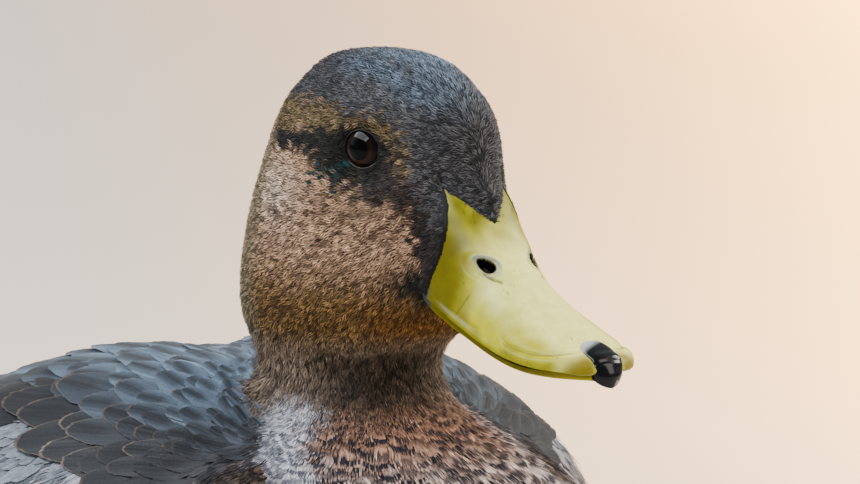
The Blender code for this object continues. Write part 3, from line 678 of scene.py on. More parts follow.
# Lines on the side of the head, in millimetres ahead of and above the eyes' middle.
CHEEK_TOP = (
    (-14, -9.4, -2.7, 1.6, 6.2, 10.5, 13.3, 14.4, 15.2, 17),
    (-2.4, -4.6, -8.3, -8.8, -9.8, -10.7, -12.8, -18.7, -24, -29),
)
CAP_EDGE = (
    (-30, -17, -9.5, -4.4, 2.9, 5.6, 9.3, 11.8, 13.4, 16),
    (7.3, 8.6, 9.2, 7.6, 7.4, 6.4, 3.6, 0.2, -5, -14),
)
EYE_STRIPE = (-27, 0.2), (-15, 0.4), (-6, 0.8)
BROW_BEHIND = (-28, 4.8), (-17, 5.9), (-9.5, 6.3), (-5.5, 5.7)
BROW_OVER = (-5.5, 5.7), (0, 6.0), (3.5, 6.0)
BROW_BEFORE = (3.5, 6.2), (7, 3.8), (9.6, 1.4), (12, -2.8)
# The height of the flank's upper edge along the body, and the patch of loose down at its front.
FLANK_TOP = (
    (-0.130, -0.109, -0.090, -0.074, -0.050, -0.020, 0.010, 0.040, 0.060),
    (0.185, 0.1920, 0.1975, 0.1990, 0.1975, 0.1885, 0.1740, 0.1600, 0.1550),
)
RUFFLE, RUFFLE_REACH = np.array([0.0365, -0.1335, 0.1905]), np.array([12.0, 10.5, 7.5])


def mantle_front(points):
    """How far behind the front edge of the back's plumage a place is, in metres. The edge runs
    from behind the neck down to the shoulder."""
    x, y, z = points.T
    edge = -0.115 - 0.018 * ramp(-z, -0.2065, -0.197) + 0.018 * ramp(0.022 - np.abs(x), 0, 0.020)
    edge = edge + 0.006 * ramp(0.027 - np.abs(x), 0, 0.006) * (1 - ramp(z, 0.203, 0.2075))
    return y - edge


def flank_top(y):
    """The height of the line where the flank's feathers lap up over the folded wing."""
    return np.interp(y, *FLANK_TOP)


def collar_share(side, height):
    """1 in the grey band down each side of the neck's foot, and 0 away from it."""
    middle = np.interp(-height, (55, 61, 64.6, 67.5, 75), (20.8, 24.2, 26.2, 29.2, 34.2))
    band = (1 - 0.75 * (side > 0)) * (1 - ramp(np.abs(np.abs(side) - middle) / 5.0, 0.3, 1.15))
    return band * ramp(-height, 51, 56) * (1 - ramp(-height, 68, 78))


def ruffled_share(points):
    """1 in the patch of loose brown down before the wing's bend, and 0 away from it."""
    off = points * np.where(points[:, :1] < 0, (-1, 1, 1), 1) - RUFFLE
    away = np.linalg.norm(off * 1000 / RUFFLE_REACH, axis=1)
    return 1 - ramp(away + 0.12 * soft_noise(points, 0.006, 3), 0.7, 1.1)


def plumage(points):
    """The fringe and heart colour of the feather rooted at each point. A part of the plumage that
    has a single colour changes the fringe alone."""
    ahead, side, height = in_head(points).T
    x, y, z = points.T
    mottle = soft_noise(points, 0.006, 3)
    dither = soft_noise(points, 0.0010, 12)
    speckled = ramp(soft_noise(points, 0.0008, 24), 0.12, 0.38)
    ahead_m = ahead + 0.9 * mottle + 1.1 * dither
    height_m = height + 0.8 * soft_noise(points, 0.005, 4) + 1.1 * dither
    profile = np.stack([ahead_m, height_m], 1)

    # The face: pale cheeks, dark lores, gape and stripe.
    pale = 1 - ramp(np.hypot((ahead + 22) / 13, (height + 11) / 10) + 0.12 * mottle + 0.15 * dither, 0.1, 1.2)
    chin = ramp(-height, 28, 36) * ramp(ahead, -4, 8)
    lores = ramp(height_m - np.interp(ahead_m, *CHEEK_TOP), -1.9, 1.7) * ramp(ahead_m, -13, -8)
    fore = ramp(ahead_m, 3, 12) * lores
    gape = 1 - ramp(np.hypot(ahead_m - 13.5, height_m + 27), 2.0, 5.6)
    stripe = 1 - ramp(line_distance(profile, EYE_STRIPE), 1.5, 3.2)

    # The dark cap with a painted grey-blue sheen of the sky on its top, and the paler brow that breaks up
    # before the eye.
    cap = ramp(height_m - np.interp(ahead_m, *CAP_EDGE), -1.2, 1.2)
    # Where the painted sheen lies over the crown's top.
    painted_sheen = 1 - ramp(np.hypot((ahead_m - 1) / 19, (side + 2) / 15), 0.3, 1.15)
    painted_sheen = painted_sheen * ramp(height + 0.4 * np.maximum(ahead, 0), 11.0, 16.0)
    behind_eye = 1 - ramp(line_distance(profile, BROW_BEHIND), 1.9, 3.6)
    over_eye = 0.55 * (1 - ramp(line_distance(profile, BROW_OVER), 0.9, 2.2))
    before_eye = 0.62 * (1 - ramp(line_distance(profile, BROW_BEFORE), 0.6, 3.2))
    broken_brow = np.maximum(over_eye, before_eye * (1 - 0.25 * ramp(ahead_m, 9, 13)))
    brow_band = broken_brow * (0.8 + 0.4 * mottle + 0.25 * dither)
    brow_band = np.maximum(behind_eye * (1 + 0.3 * dither), brow_band)
    flecked = broken_brow * ramp(soft_noise(points, 0.0007, 23), 0.05, 0.35)

    # The neck, its shaded throat, the grey collar and the breast.
    neck = ramp(-height, 37, 44)
    throat = neck * (1 - ramp(np.hypot((side + 4) / 17, (height + 50) / 12), 0.4, 1.3)) * ramp(ahead, -20, -8)
    collar = collar_share(side + 0.8 * mottle + 1.8 * dither, height) * ramp(ahead, -26, -17)
    breast = ramp(-height + 0.10 * (ahead + 8) + 1.2 * dither, 51.5, 60)
    breast = breast * np.maximum(ramp(ahead, -22, -14), ramp(-height, 62, 70))

    # The body, its flanks, rump and back.
    belly = ramp(0.128 - z + 0.10 * (y + 0.1), 0.0, 0.03) * ramp(y, -0.15, -0.09)
    shoulder_line = y + 0.35 * (z - 0.16) + 0.006 * soft_noise(points, 0.014, 5)
    flank = ramp(shoulder_line, -0.122, -0.098) * ramp(np.abs(x), 0.022, 0.042) * ramp(z, 0.085, 0.11)
    flank = flank * (1 - ramp(z - flank_top(y), -0.003, 0.002))
    rump = ramp(y, 0.075, 0.11) * ramp(z, 0.085, 0.105)
    top = ramp(mantle_front(points), -0.002, 0.002) * ramp(z - flank_top(y), -0.001, 0.003)
    top = top * ramp(-height, 38, 44)

    coat = CHEEK * np.ones((len(points), 1))
    for colours, share in (  # from the cheek outwards, each over the last
        (PALE_CHEEK, pale),
        (JAW, ramp(-height_m, 21, 33)),
        (CHIN, chin),
        (CHEEK[1, 0], 0.55 * speckled * ramp(-height, 5, 14) * (1 - chin)),
        (STRIPE, np.maximum(np.maximum(stripe, lores), gape)),
        (LORES, fore),
        (SHADOW, 0.4 * fore * ramp(-height, 9, 17)),
        (CAP, cap),
        (CAP_SKY_SHEEN, cap * painted_sheen * (0.8 + 0.35 * mottle)),
        (BROW_STRIPE, brow_band),
        (BROW_FLECK, 1.3 * flecked),
        (SHADOW, 0.35 * cap * ramp(-ahead, 2, 14) * (1 - painted_sheen)),
        (NAPE, 0.9 * ramp(-ahead, 23, 29) * ramp(-height, -6, 4)),
        (NECK, neck),
        (NECK[1, 0], 0.55 * speckled * neck),
        (SHADOW, 0.68 * throat),
        (BREAST, breast),
        (BREAST_LOW, breast * ramp(-height, 59, 72)),
        (COLLAR, collar),
        (DOWN, ruffled_share(points)),
        (BELLY, belly),
        (FLANK, flank),
        (RUMP, rump),
        (BACK, top * (1 - rump)),
        # The down on top of the back, painted with the mantle's blue sky sheen.
        (MANTLE_SKIN_SKY_SHEEN, top * ramp(z, 0.1985, 0.204)),
    ):
        if colours.ndim == 1:
            coat[0] = lay(coat[0], colours, share)
        else:
            coat = lay(coat, colours, share)
    return coat


def barb_finish(name, gloss, sheen, scale, depth):
    """Feather: broken by fine barbs, with a soft sheen."""
    sockets = {"Roughness": gloss, "Specular IOR Level": 0.06, "Sheen Weight": sheen, "Sheen Roughness": 0.5}
    return grainy_finish(
        name, sockets, scale=scale, detail=3, tones=(1 - depth, 1 + depth), strength=0.25, depth=0.0003
    )


skin_points, _, skin_normals = mesh_arrays(skin.data)
skin_fringe, skin_heart = plumage(skin_points)
down_finish = barb_finish("down", gloss=0.85, sheen=0.0, scale=2600, depth=0.35)
skin.data.materials.clear()
dress(skin.data, 0.16 * skin_fringe + 0.5 * skin_heart, down_finish)
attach(skin, "root")
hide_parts(*FLESH)

# ---------------------------------------------------------------------------------------------
# The coat of the head: many thousands of tiny tufts, each a dark streak between paler barbs,
# rooted in the skin and lying back from the bill, round the eyes and down the neck.

FACE_SPACING = 0.00051
ROOTS_TRIED = 2.6  # for each patch of skin as wide as the spacing
TUFTS_IN_PIECE = 9500  # keeps each piece of the coat light enough to handle
HEAD_TUFTS_OVER = -43.5  # millimetres above the eyes
LIDS_REACH, CLEAR_OF_HORN = 3.95, 0.15  # no tuft grows nearer to the eye or to the horn, millimetres
FEATHER_PATCH = 0.0012, 0.0026  # what one feather takes up on the unwrap, across and along
TEAL = shade(24, 56, 58)
FACE_TUFT = dict(
    barbs=3, steps=(0, 0.55, 1), length=0.0018, width=0.00056, lift=0.36, tip=0.20, rounding=0.18,
    ragged=0.10, camber=0.05, loose=0.00010, stout=1.15, taper=0.45, turn=0.30,
)

skin.data.calc_loop_triangles()
skin_corners = np.empty(len(skin.data.loop_triangles) * 3, np.int32)
skin.data.loop_triangles.foreach_get("vertices", skin_corners)
skin_corners = skin_corners.reshape(-1, 3)
skin_tree = BVHTree.FromPolygons(skin_points.tolist(), skin_corners.tolist())


def scatter(spacing, wanted, seed):
    """Roots over the skin wherever they are wanted, none closer than the spacing there.
    Both are functions of points. Returns the roots and the skin's normals at them."""
    dice = np.random.default_rng(seed)
    a, b, c = (skin_points[skin_corners[:, i]] for i in range(3))
    middles = (a + b + c) / 3
    areas = np.linalg.norm(np.cross(b - a, c - a), axis=1) / 2
    gaps = spacing(middles)
    counts = dice.poisson(np.where(wanted(middles), ROOTS_TRIED * areas / gaps**2, 0))
    pick = np.repeat(np.arange(len(counts)), counts)
    dice.shuffle(pick)
    r, s = dice.random(len(pick)), dice.random(len(pick))
    flip = r + s > 1
    r, s = np.where(flip, 1 - r, r), np.where(flip, 1 - s, s)
    weights = np.stack([1 - r - s, r, s], 1)[:, :, None]
    spots, normals = ((part[skin_corners[pick]] * weights).sum(1) for part in (skin_points, skin_normals))
    normals /= np.linalg.norm(normals, axis=1)[:, None]
    gaps = gaps[pick]
    taken, keep = {}, []  # the roots already set, by the cell that they stand in
    keys = np.floor(spots / gaps.max()).astype(int).tolist()
    for index, ((i, j, k), (x, y, z), room) in enumerate(zip(keys, spots.tolist(), (gaps**2).tolist())):
        around = itertools.product((i - 1, i, i + 1), (j - 1, j, j + 1), (k - 1, k, k + 1))
        nearby = (spot for cell in around if cell in taken for spot in taken[cell])
        if all((px - x) ** 2 + (py - y) ** 2 + (pz - z) ** 2 >= room for px, py, pz in nearby):
            taken.setdefault((i, j, k), []).append((x, y, z))
            keep.append(index)
    return spots[keep], normals[keep]


def laid_flat(ways, normals):
    """Ways laid down along the skin, at unit length."""
    ways = ways - normals * (ways * normals).sum(1)[:, None]
    return ways / np.maximum(np.linalg.norm(ways, axis=1), 1e-9)[:, None]


def lie_of_coat(points, normals):
    """The way each feather points: back from the bill, parting round the eyes, down the neck and
    breast, and back along the body."""
    _, _, height = in_head(points).T
    back = np.ones(len(points))
    fall = 0.12 + 0.55 * ramp(-height, 2, 30)
    for eye_side, eye, _ in EYES:
        looks, onward, upward, _ = from_eye(points, eye_side, eye)
        near = (looks > 0) & (np.hypot(onward, upward) < 14)
        round_eye = 13.0 / np.maximum(onward**2 + upward**2, 9.0)
        twice = 2 * np.arctan2(upward, -onward)
        back = np.where(near, back * (1 - round_eye * np.cos(twice)), back)
        fall = np.where(near, fall + round_eye * np.sin(twice), fall)
    headwise = -back[:, None] * HEAD_AXES[0] - fall[:, None] * HEAD_AXES[2]
    neck = ramp(-height, 33, 45)[:, None]
    front = 1 - ramp(points[:, 1], -0.12, -0.05)
    rearward = 1 - 0.9 * front * ramp(-normals[:, 1], 0.10, 0.50)
    bodywise = np.stack([points[:, 0] * 2.0 * front, rearward, -(0.12 + 1.3 * front)], 1)
    behind = ramp(points[:, 1] + 0.4 * (points[:, 2] - 0.2), -0.125, -0.100)
    body = np.maximum(ramp(-height, 50, 62), behind * ramp(-height, 36, 48))[:, None]
    ways = headwise * (1 - neck) + np.array([0.0, 0.12, -1.0]) * neck
    return laid_flat(ways * (1 - body) + bodywise * body, normals)


def unwrapped(points):
    """Each root's place on a flat unwrap of the skin: round the head and neck, or round the body."""
    ahead, side, height = in_head(points).T
    round_head = np.stack([np.arctan2(side, -(ahead + 8)) / (2 * np.pi) + 0.5, (height + 70) / 92], 1)
    x, y, z = points.T
    round_body = np.stack([np.arctan2(x, 0.145 - z) / (2 * np.pi) + 0.5, (y + 0.18) / 0.38], 1)
    return np.clip(np.where((height > -56)[:, None], round_head, round_body), 0.004, 0.996)


def sheet_object(name, spots, faces, colours, patch, finish):
    """A mesh object of many small sheets, with their colours and their places on the unwrap."""
    mesh = bpy.data.meshes.new(name)
    mesh.vertices.add(spots.size // 3)
    mesh.vertices.foreach_set("co", spots.ravel())
    order = np.concatenate([f.ravel() for f in faces])
    mesh.loops.add(len(order))
    mesh.loops.foreach_set("vertex_index", order)
    sizes = np.concatenate([np.full(len(f), f.shape[1]) for f in faces])
    mesh.polygons.add(len(sizes))
    mesh.polygons.foreach_set("loop_start", np.concatenate([[0], np.cumsum(sizes)[:-1]]))
    mesh.update(calc_edges=True)
    dress(mesh, colours, finish)
    mesh.uv_layers.new(name="OFBake").data.foreach_set("uv", patch.reshape(-1, 2)[order].ravel())
    return set_out(name, mesh)


def drops(roots, normals, lies, across, length, width):
    """How far a flat feather's tip and sides would stand off the curved skin."""
    reach, half = lies * length[:, None], across * width[:, None] / 2
    fallen = np.zeros((3, len(roots)))
    for row, places in enumerate((roots + reach, roots + reach * 0.6 - half, roots + reach * 0.6 + half)):
        for index, place in enumerate(places):
            near = skin_tree.find_nearest(place)[0]
            fallen[row, index] = (Vector(place) - near).dot(Vector(normals[index]))
    fallen[1:] -= fallen[0] * 0.36
    return np.clip(fallen, -0.4 * length, 0.4 * length)


def on_skin(places):
    """The nearest places on the skin, and the way the skin faces there."""
    found = [skin_tree.find_nearest(place)[::2] for place in places.tolist()]
    feet = np.array([tuple(foot) for foot, _ in found])
    facing = skin_normals[skin_corners[[triangle for _, triangle in found]]].mean(1)
    return feet, facing / np.linalg.norm(facing, axis=1)[:, None]


def both_sides(values):
    """What holds along a barb's middle, told for its two sides and its tip."""
    return np.concatenate([np.repeat(values[:, :, :-1], 2, axis=2), values[:, :, -1:]], 2)


def barbed(name, roots, normals, lies, shape, colour, finish, seed, scale=1.0):
    """Feathers made of loose barbs. Each barb is a thin blade from the root towards the vane's
    rounded end, and the shape holds the vane's sizes in metres, which scale may change by root.
    Where the shape says joined, the barbs are hooked together into one unbroken vane."""
    dice = np.random.default_rng(seed)
    many, barbs, rows = len(roots), shape["barbs"], len(shape["steps"])
    each, every = (many, 1, 1), (many, barbs, 1)
    across = np.cross(normals, lies)
    turn = dice.normal(0, shape["turn"], many)[:, None]
    lies, across = lies * np.cos(turn) + across * np.sin(turn), across * np.cos(turn) - lies * np.sin(turn)
    length = shape["length"] * scale * dice.uniform(0.82, 1.18, many)
    width = shape["width"] * scale * dice.uniform(0.85, 1.15, many)
    fallen = drops(roots, normals, lies, across, length, width)[:, :, None, None]
    length, width = length.reshape(each), width.reshape(each)
    lift = shape["lift"] * dice.uniform(0.6, 1.4, each)
    u = np.linspace(-1, 1, barbs)[:, None] + dice.normal(0, shape.get("stray", 0.5) / barbs, every)
    t = np.array(shape["steps"]) * np.ones(every)
    reach = 1 - shape["rounding"] * np.abs(u) ** 2.4 + dice.normal(0, shape["ragged"], every)
    forth = length * t * reach
    sideways = u * width / 2 * (0.25 + 0.75 * np.sin(np.pi / 2 * np.minimum(t * 1.5, 1)))
    rise = length * (lift * t - (lift - shape["tip"]) * t**2) - shape["camber"] * width * u**2 * t
    rise = (rise + dice.normal(0, shape["loose"], every) * t)[..., None]
    fallen = fallen[0] * t**2 + np.where(u < 0, fallen[1], fallen[2]) * u**2 * t
    half = width / (2 * barbs) * shape["stout"] * (1 - t**2 * shape["taper"])
    tones = colour(u, t, dice)

    root, out, lie, cross = (part[:, None, None] for part in (roots, normals, lies, across))
    spots = root + lie * forth[..., None] + cross * sideways[..., None] - out * fallen[..., None]
    if shape.get("joined"):  # one sheet, laid on the skin under it
        feet, facing = on_skin(spots.reshape(-1, 3))
        spots = feet + facing * rise.reshape(-1, 1)
        column = np.arange(barbs - 1)[:, None] * rows + np.arange(rows - 1)
        quad = np.stack([column, column + 1, column + rows + 1, column + rows], 2).reshape(-1, 4)
        faces = [(np.arange(many)[:, None, None] * barbs * rows + quad).reshape(-1, 4)]
    else:  # a blade for each barb, with two sides and one tip
        sides = np.array([-1, 1] * (rows - 1) + [0])[:, None]
        spots = both_sides(spots + out * rise) + both_sides(cross * half[..., None]) * sides
        t, tones = both_sides(t), both_sides(tones)
        last = 2 * (rows - 1)
        base = (np.arange(many * barbs) * (last + 1))[:, None]
        faces = [base + np.array([2 * k, 2 * k + 2, 2 * k + 3, 2 * k + 1]) for k in range(rows - 2)]
        faces.append(base + np.array([last - 2, last, last - 1]))
    patch = np.stack([u * np.ones_like(t) * FEATHER_PATCH[0], (t - 0.5) * FEATHER_PATCH[1]], 3)
    return sheet_object(name, spots, faces, tones, unwrapped(roots)[:, None, None] + patch, finish)


def in_pieces(name, pieces, order, coat, shape, colour, seed):
    """The feathers of one part of the coat, split into pieces in the given order. The coat holds
    their roots, normals, lies and sizes, and colour is a function of the feathers' numbers."""
    for number, some in enumerate(np.array_split(np.argsort(order), pieces)):
        roots, normals, lies, sizes = (part[some] for part in coat)
        piece = f"{name}_{number + 1}"
        yield barbed(piece, roots, normals, lies, shape, colour(some), face_finish, seed + number, sizes)


def uneven(dice, spread, size, most=np.inf):
    """Factors about 1 that make some feathers or barbs lighter and some darker."""
    return np.exp(np.minimum(dice.normal(0, spread, size), most))


def streaked(coat, streak, contrast):
    """Tiny feathers: a dark streak down the middle that fades at the tip, and paler barbs beside it."""

    def colour(u, t, dice):
        each, every = (len(u), 1, 1), u.shape
        tone = uneven(dice, contrast, each, 0.3) * uneven(dice, contrast * 0.8, every, 0.25)
        middle = (1 - ramp(np.abs(u), streak, streak + 0.45)) * (1 - 0.85 * ramp(t, 0.62, 1.0))
        root = 0.75 * (1 - ramp(t, 0.05, 0.5))
        mix = np.maximum(middle * dice.uniform(0.3, 1.25, each), root)
        return lay(*coat[:, :, None, None], mix) * tone[..., None]

    return colour


def off_the_eyes(points, reach):
    """True where a root is not under a lid."""
    clear = np.ones(len(points), bool)
    for side, eye, _ in EYES:
        looks, _, _, spread = from_eye(points, side, eye)
        clear &= (spread > reach) | (looks < 0)
    return clear


def on_head(points):
    """True over the head and the top of the neck."""
    return in_head(points)[:, 2] > HEAD_TUFTS_OVER


def head_spacing(points):
    """The gap between tufts, which are finest about the bill and the eyes."""
    ahead, _, height = in_head(points).T
    return FACE_SPACING * (1 + 0.35 * ramp(-ahead, 10, 28) + 0.3 * ramp(-height, 20, 40))


face_finish = barb_finish("face_plumage", gloss=0.75, sheen=0.0, scale=3200, depth=0.25)
head_roots, head_normals = scatter(head_spacing, on_head, seed=11)
clear = off_the_eyes(head_roots, LIDS_REACH) & (past_feather_line(head_roots) < -CLEAR_OF_HORN)
head_roots, head_normals = head_roots[clear], head_normals[clear]
head_colours = plumage(head_roots)
clumps = soft_noise(head_roots, 0.0018, 9)
head_colours[0] *= np.exp(0.24 * clumps)[:, None]
ahead, side, height = in_head(head_roots).T
green = 1 - np.hypot((ahead + 5.5) / 6.5, (height + 6.0) / 3.8)
green = np.maximum(green, 0.7 - np.hypot((ahead - 4) / 5, (height + 5.8) / 2))
green = np.maximum(green, 0.5 - np.hypot((ahead + 16) / 5, (height - 0.5) / 1.5))
teal_spots = (soft_noise(head_roots, 0.0011, 8) + 1.2 * green > 1.15) & (green > 0) & (np.abs(side) > 8)
head_colours[0, teal_spots] = TEAL * np.exp(0.35 * clumps[teal_spots])[:, None]
head_size = 0.7 + 0.3 * ramp(-past_feather_line(head_roots), 0.5, 5)
for tufts in in_pieces(
    "head_plumage",
    math.ceil(len(head_roots) / TUFTS_IN_PIECE),
    head_roots[:, 0] + 0.0001 * np.arange(len(head_roots)) / len(head_roots),
    (head_roots, head_normals, lie_of_coat(head_roots, head_normals), head_size),
    FACE_TUFT,
    lambda some: streaked(head_colours[:, some], streak=0.2, contrast=0.40),
    seed=20,
):
    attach(tufts, "root")

# ---------------------------------------------------------------------------------------------
# The neck's plumage: short woolly tufts, dark at heart and pale at the tip, that hang straight
# down and end in a loose fringe over the breast.

NECK_SPACING = 0.00066
NECK_TUFT = dict(
    barbs=5, steps=(0, 0.55, 1), length=0.0020, width=0.00095, lift=0.45, tip=0.26, rounding=0.2, ragged=0.12,
    camber=0.06, loose=0.00014, stout=0.95, taper=0.6, turn=0.30,
)


def on_back(points):
    """True under the scapulars and the mantle."""
    x, y, z = points.T
    high = (z > flank_top(y)) & (in_head(points)[:, 2] < -40 - 9.0 * ((np.abs(x) < 0.03) & (y < -0.06)))
    return (mantle_front(points) > 0) & high & (y < 0.088) & (ruffled_share(points) < 0.5)


def on_neck(points):
    """True from under the head's tufts to the breast's uppermost feathers."""
    height = in_head(points)[:, 2]
    return (height < -41) & (height > -56.5 - 3.0 * ramp(-points[:, 1], 0.115, 0.135)) & ~on_back(points)


neck_roots, neck_normals = scatter(lambda p: np.full(len(p), NECK_SPACING), on_neck, seed=31)
neck = barbed(
    "neck_plumage", neck_roots, neck_normals, lie_of_coat(neck_roots, neck_normals), NECK_TUFT,
    streaked(plumage(neck_roots), streak=0.25, contrast=0.40), face_finish, seed=32,
)
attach(neck, "root")

# ---------------------------------------------------------------------------------------------
# The collar and breast: small rounded feathers, each cinnamon with a dark bar before its tip, and
# paler and greyer where they meet the wing. Lower down their barbs part into pale hairs.

BREAST_STREAK = shade(214, 194, 184)
BREAST_PIECES = 3
BREAST_FULL_SPACING = 0.00195  # where a breast feather has its full size
BREAST_TUFT = dict(
    barbs=9, steps=(0, 0.35, 0.54, 0.61, 0.80, 0.87, 1), length=0.0068, width=0.0046, lift=0.15, tip=0.13,
    rounding=0.30, ragged=0.04, camber=0.07, loose=0.00008, stout=1.15, taper=0.7, turn=0.12,
)


def barred(points, coat):
    """Breast feathers: a dark bar across before a cinnamon tip, and stray pale barbs."""
    low = (ramp(-in_head(points)[:, 2], 62, 80) * (1 - ruffled_share(points)))[:, None, None]

    def colour(u, t, dice):
        each, every = (len(u), 1, 1), u.shape
        tone = uneven(dice, 0.16, each) * uneven(dice, 0.16, every)
        start, stop = dice.uniform(0.46, 0.56, each), dice.uniform(0.78, 0.90, each)
        wide = dice.uniform(0.55, 1.1, each)
        bar = ramp(t, start, start + 0.07) * (1 - ramp(t, stop, stop + 0.08))
        bar = bar * (1 - ramp(np.abs(u), wide, wide + 0.2))
        mix = np.maximum(bar * dice.uniform(0.7, 1.2, each), 0.6 * (1 - ramp(t, 0.1, 0.45)))
        hairs = (dice.random(every) < 0.01 + 0.30 * low) * ramp(t, 0.4, 0.9)
        return lay(lay(*coat[:, :, None, None], mix), BREAST_STREAK, 0.6 * hairs) * tone[..., None]

    return colour


def on_breast(points):
    """True from the neck's foot down to the belly, before the wing."""
    _, y, z = points.T
    below_neck = in_head(points)[:, 2] < -51.0 - 1.5 * ramp(-y, 0.115, 0.135)
    before_wing = (mantle_front(points) < 0.004) | (z < flank_top(y) - 0.003)
    return below_neck & before_wing & (y < -0.088 - 0.2 * (z - 0.12)) & (z > 0.105)


def breast_spacing(points):
    """The gap between breast feathers, which grow larger downwards and are fine in the collar."""
    _, side, height = in_head(points).T
    wide = 0.00095 + 0.00120 * ramp(-height, 52, 66) + 0.0007 * ramp(-height, 75, 110)
    return wide * (1 - 0.35 * collar_share(side, height))


breast_roots, breast_normals = scatter(breast_spacing, on_breast, seed=41)
breast_colours = plumage(breast_roots)
breast_lies = lie_of_coat(breast_roots, breast_normals)
for tufts in in_pieces(
    "breast_plumage",
    BREAST_PIECES,
    breast_roots[:, 2],
    (breast_roots, breast_normals, breast_lies, breast_spacing(breast_roots) / BREAST_FULL_SPACING),
    BREAST_TUFT,
    lambda some: barred(breast_roots[some], breast_colours[:, some]),
    seed=42,
):
    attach(tufts, "root")

# ---------------------------------------------------------------------------------------------
# The flanks, belly, rump and thighs: broad soft feathers with open tips. The flanks' are pale grey
# and finely pencilled across, and lap up over the folded wing.

BODY_PIECES = 3
BODY_TUFT = dict(
    barbs=9, steps=(0, 0.25, 0.45, 0.62, 0.8, 0.93, 1), length=0.0155, width=0.0092, lift=0.08, tip=0.08,
    rounding=0.40, ragged=0.015, camber=0.05, loose=0.00006, stout=1.0, taper=0.6, turn=0.1, stray=0.2,
    joined=True,
)


def pencilled(coat):
    """Flank feathers: pale, with fine dark waves across."""

    def colour(u, t, dice):
        each, every = (len(u), 1, 1), u.shape
        tone = uneven(dice, 0.10, each) * uneven(dice, 0.12, every)
        waves = 0.5 + 0.5 * np.sin(t * 26 + u**2 * 3 + dice.uniform(0, 6, each))
        shaft = 1 - ramp(np.abs(u), 0.05, 0.25)
        mix = 0.34 * waves + 0.3 * shaft + 0.5 * (1 - ramp(t, 0.1, 0.5))
        return lay(*coat[:, :, None, None], mix) * tone[..., None]

    return colour


def on_body(points):
    """True wherever no other part of the coat grows, and the wing doesn't cover the flank."""
    _, y, z = points.T
    under_wing = (z > flank_top(y) - 0.0015) & (y > -0.118) & (y < 0.04)
    return ~(on_back(points) | on_neck(points) | on_breast(points) | on_head(points) | under_wing)


def near_wing(points):
    """1 just under the scapulars, where the flank's feathers are short, and 0 away from them."""
    return ramp(points[:, 2] - flank_top(points[:, 1]), -0.014, -0.003)


def body_scale(points, least, full, wing, tail):
    """A measure that grows from the breast back, and is less by the wing, the thigh and the tail."""
    y, z = points[:, 1], points[:, 2]
    scale = least + (full - least) * ramp(y, -0.09, -0.02)
    thigh = ramp(-z, -0.086, -0.076)
    return scale * (1 - wing * near_wing(points)) * (1 - 0.5 * thigh) * (1 - tail * ramp(y, 0.105, 0.13))


body_roots, body_normals = scatter(
    lambda p: body_scale(p, least=0.0028, full=0.0052, wing=0.3, tail=0.4), on_body, seed=51
)
body_colours = plumage(body_roots)
body_ways = lie_of_coat(body_roots, body_normals) - 0.5 * near_wing(body_roots)[:, None] * np.array([0, 0, 1])
body_lies = laid_flat(body_ways, body_normals)
for tufts in in_pieces(
    "body_plumage",
    BODY_PIECES,
    body_roots[:, 1],
    (body_roots, body_normals, body_lies, body_scale(body_roots, least=0.50, full=1.0, wing=0.45, tail=0.5)),
    BODY_TUFT,
    lambda some: pencilled(body_colours[:, some]),
    seed=52,
):
    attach(tufts, "root")

# ---------------------------------------------------------------------------------------------
# The eyes: glass balls, coloured with a black pupil in a deep brown iris. Each sits in a shallow
# dish of the hide, and a thin rim of bare dark lid runs round it.

EYE_BALL, BALL_RINGS, BALL_SIDES, LID_SIDES = 0.0052205, 70, 72, 96
PUPIL, IRIS = math.radians(26), math.radians(42)  # seen from the ball's middle
PUPIL_BLACK, IRIS_BROWN, IRIS_DARK_AND_LID_SHADE = shade(2, 2, 2), shade(44, 24, 16), shade(14, 9, 7)
LID_DARK, LID_PALE, LID_SKIN = shade(16, 14, 13), shade(132, 124, 114), shade(34, 31, 30)
LID_PROFILE = np.array(  # out from the opening, and out from the lids' plane, millimetres
    (
        (-0.40, -1.1), (-0.12, -0.40), (0.0, -0.08), (0.07, 0.05), (0.15, 0.07), (0.23, -0.02), (0.36, -0.35),
        (0.7, -0.9), (1.2, -1.4),
    )
)
LID_CORNER = math.radians(338)  # the front corner, round the opening from straight ahead

glass = horn_finish("eye_glass", gloss=0.04, shine=0.07, strength=0.0)
lid_finish = horn_finish("lid_skin", gloss=0.6)
rise = np.linspace(0, math.pi, BALL_RINGS)[:, None]
round_ball = np.linspace(0, 2 * math.pi, BALL_SIDES, endpoint=False)
ball_tint = lay(IRIS_BROWN, IRIS_DARK_AND_LID_SHADE, ramp(rise, IRIS * 0.72, IRIS))
# The iris's upper half, darkened with painted shade of the upper lid.
ball_tint = lay(ball_tint, IRIS_DARK_AND_LID_SHADE, 0.8 * ramp(np.sin(round_ball), -0.5, 0.5))
ball_tint = lay(ball_tint, PUPIL_BLACK, 1 - ramp(rise, PUPIL * 0.93, PUPIL * 1.05))
ball_tint = lay(ball_tint, PUPIL_BLACK, 0.9 * ramp(rise, IRIS, IRIS * 1.1))

turn = np.linspace(0, 2 * math.pi, LID_SIDES, endpoint=False)
out, proud = LID_PROFILE.T[..., None]
corner = 0.45 * fade(turn - LID_CORNER, 0.30)
lid_wide = (LID_HALF_WIDTH + out + corner) * np.cos(turn)
lid_tall = (LID_HALF_HEIGHT + out + corner) * np.sin(turn)
lid_depth = LID_PLANE + proud + 0.25 * np.maximum(np.sin(turn), 0) - 0.10 * (lid_wide / 4) ** 2
lower_lid = 0.15 + 0.85 * ramp(-np.sin(turn - math.radians(20)), 0.0, 0.7)
lid_tint = lay(LID_DARK, LID_PALE, 0.8 * fade(out - 0.15, 0.07) * lower_lid)
lid_tint = lay(lid_tint, LID_SKIN, ramp(out, 0.2, 0.3))

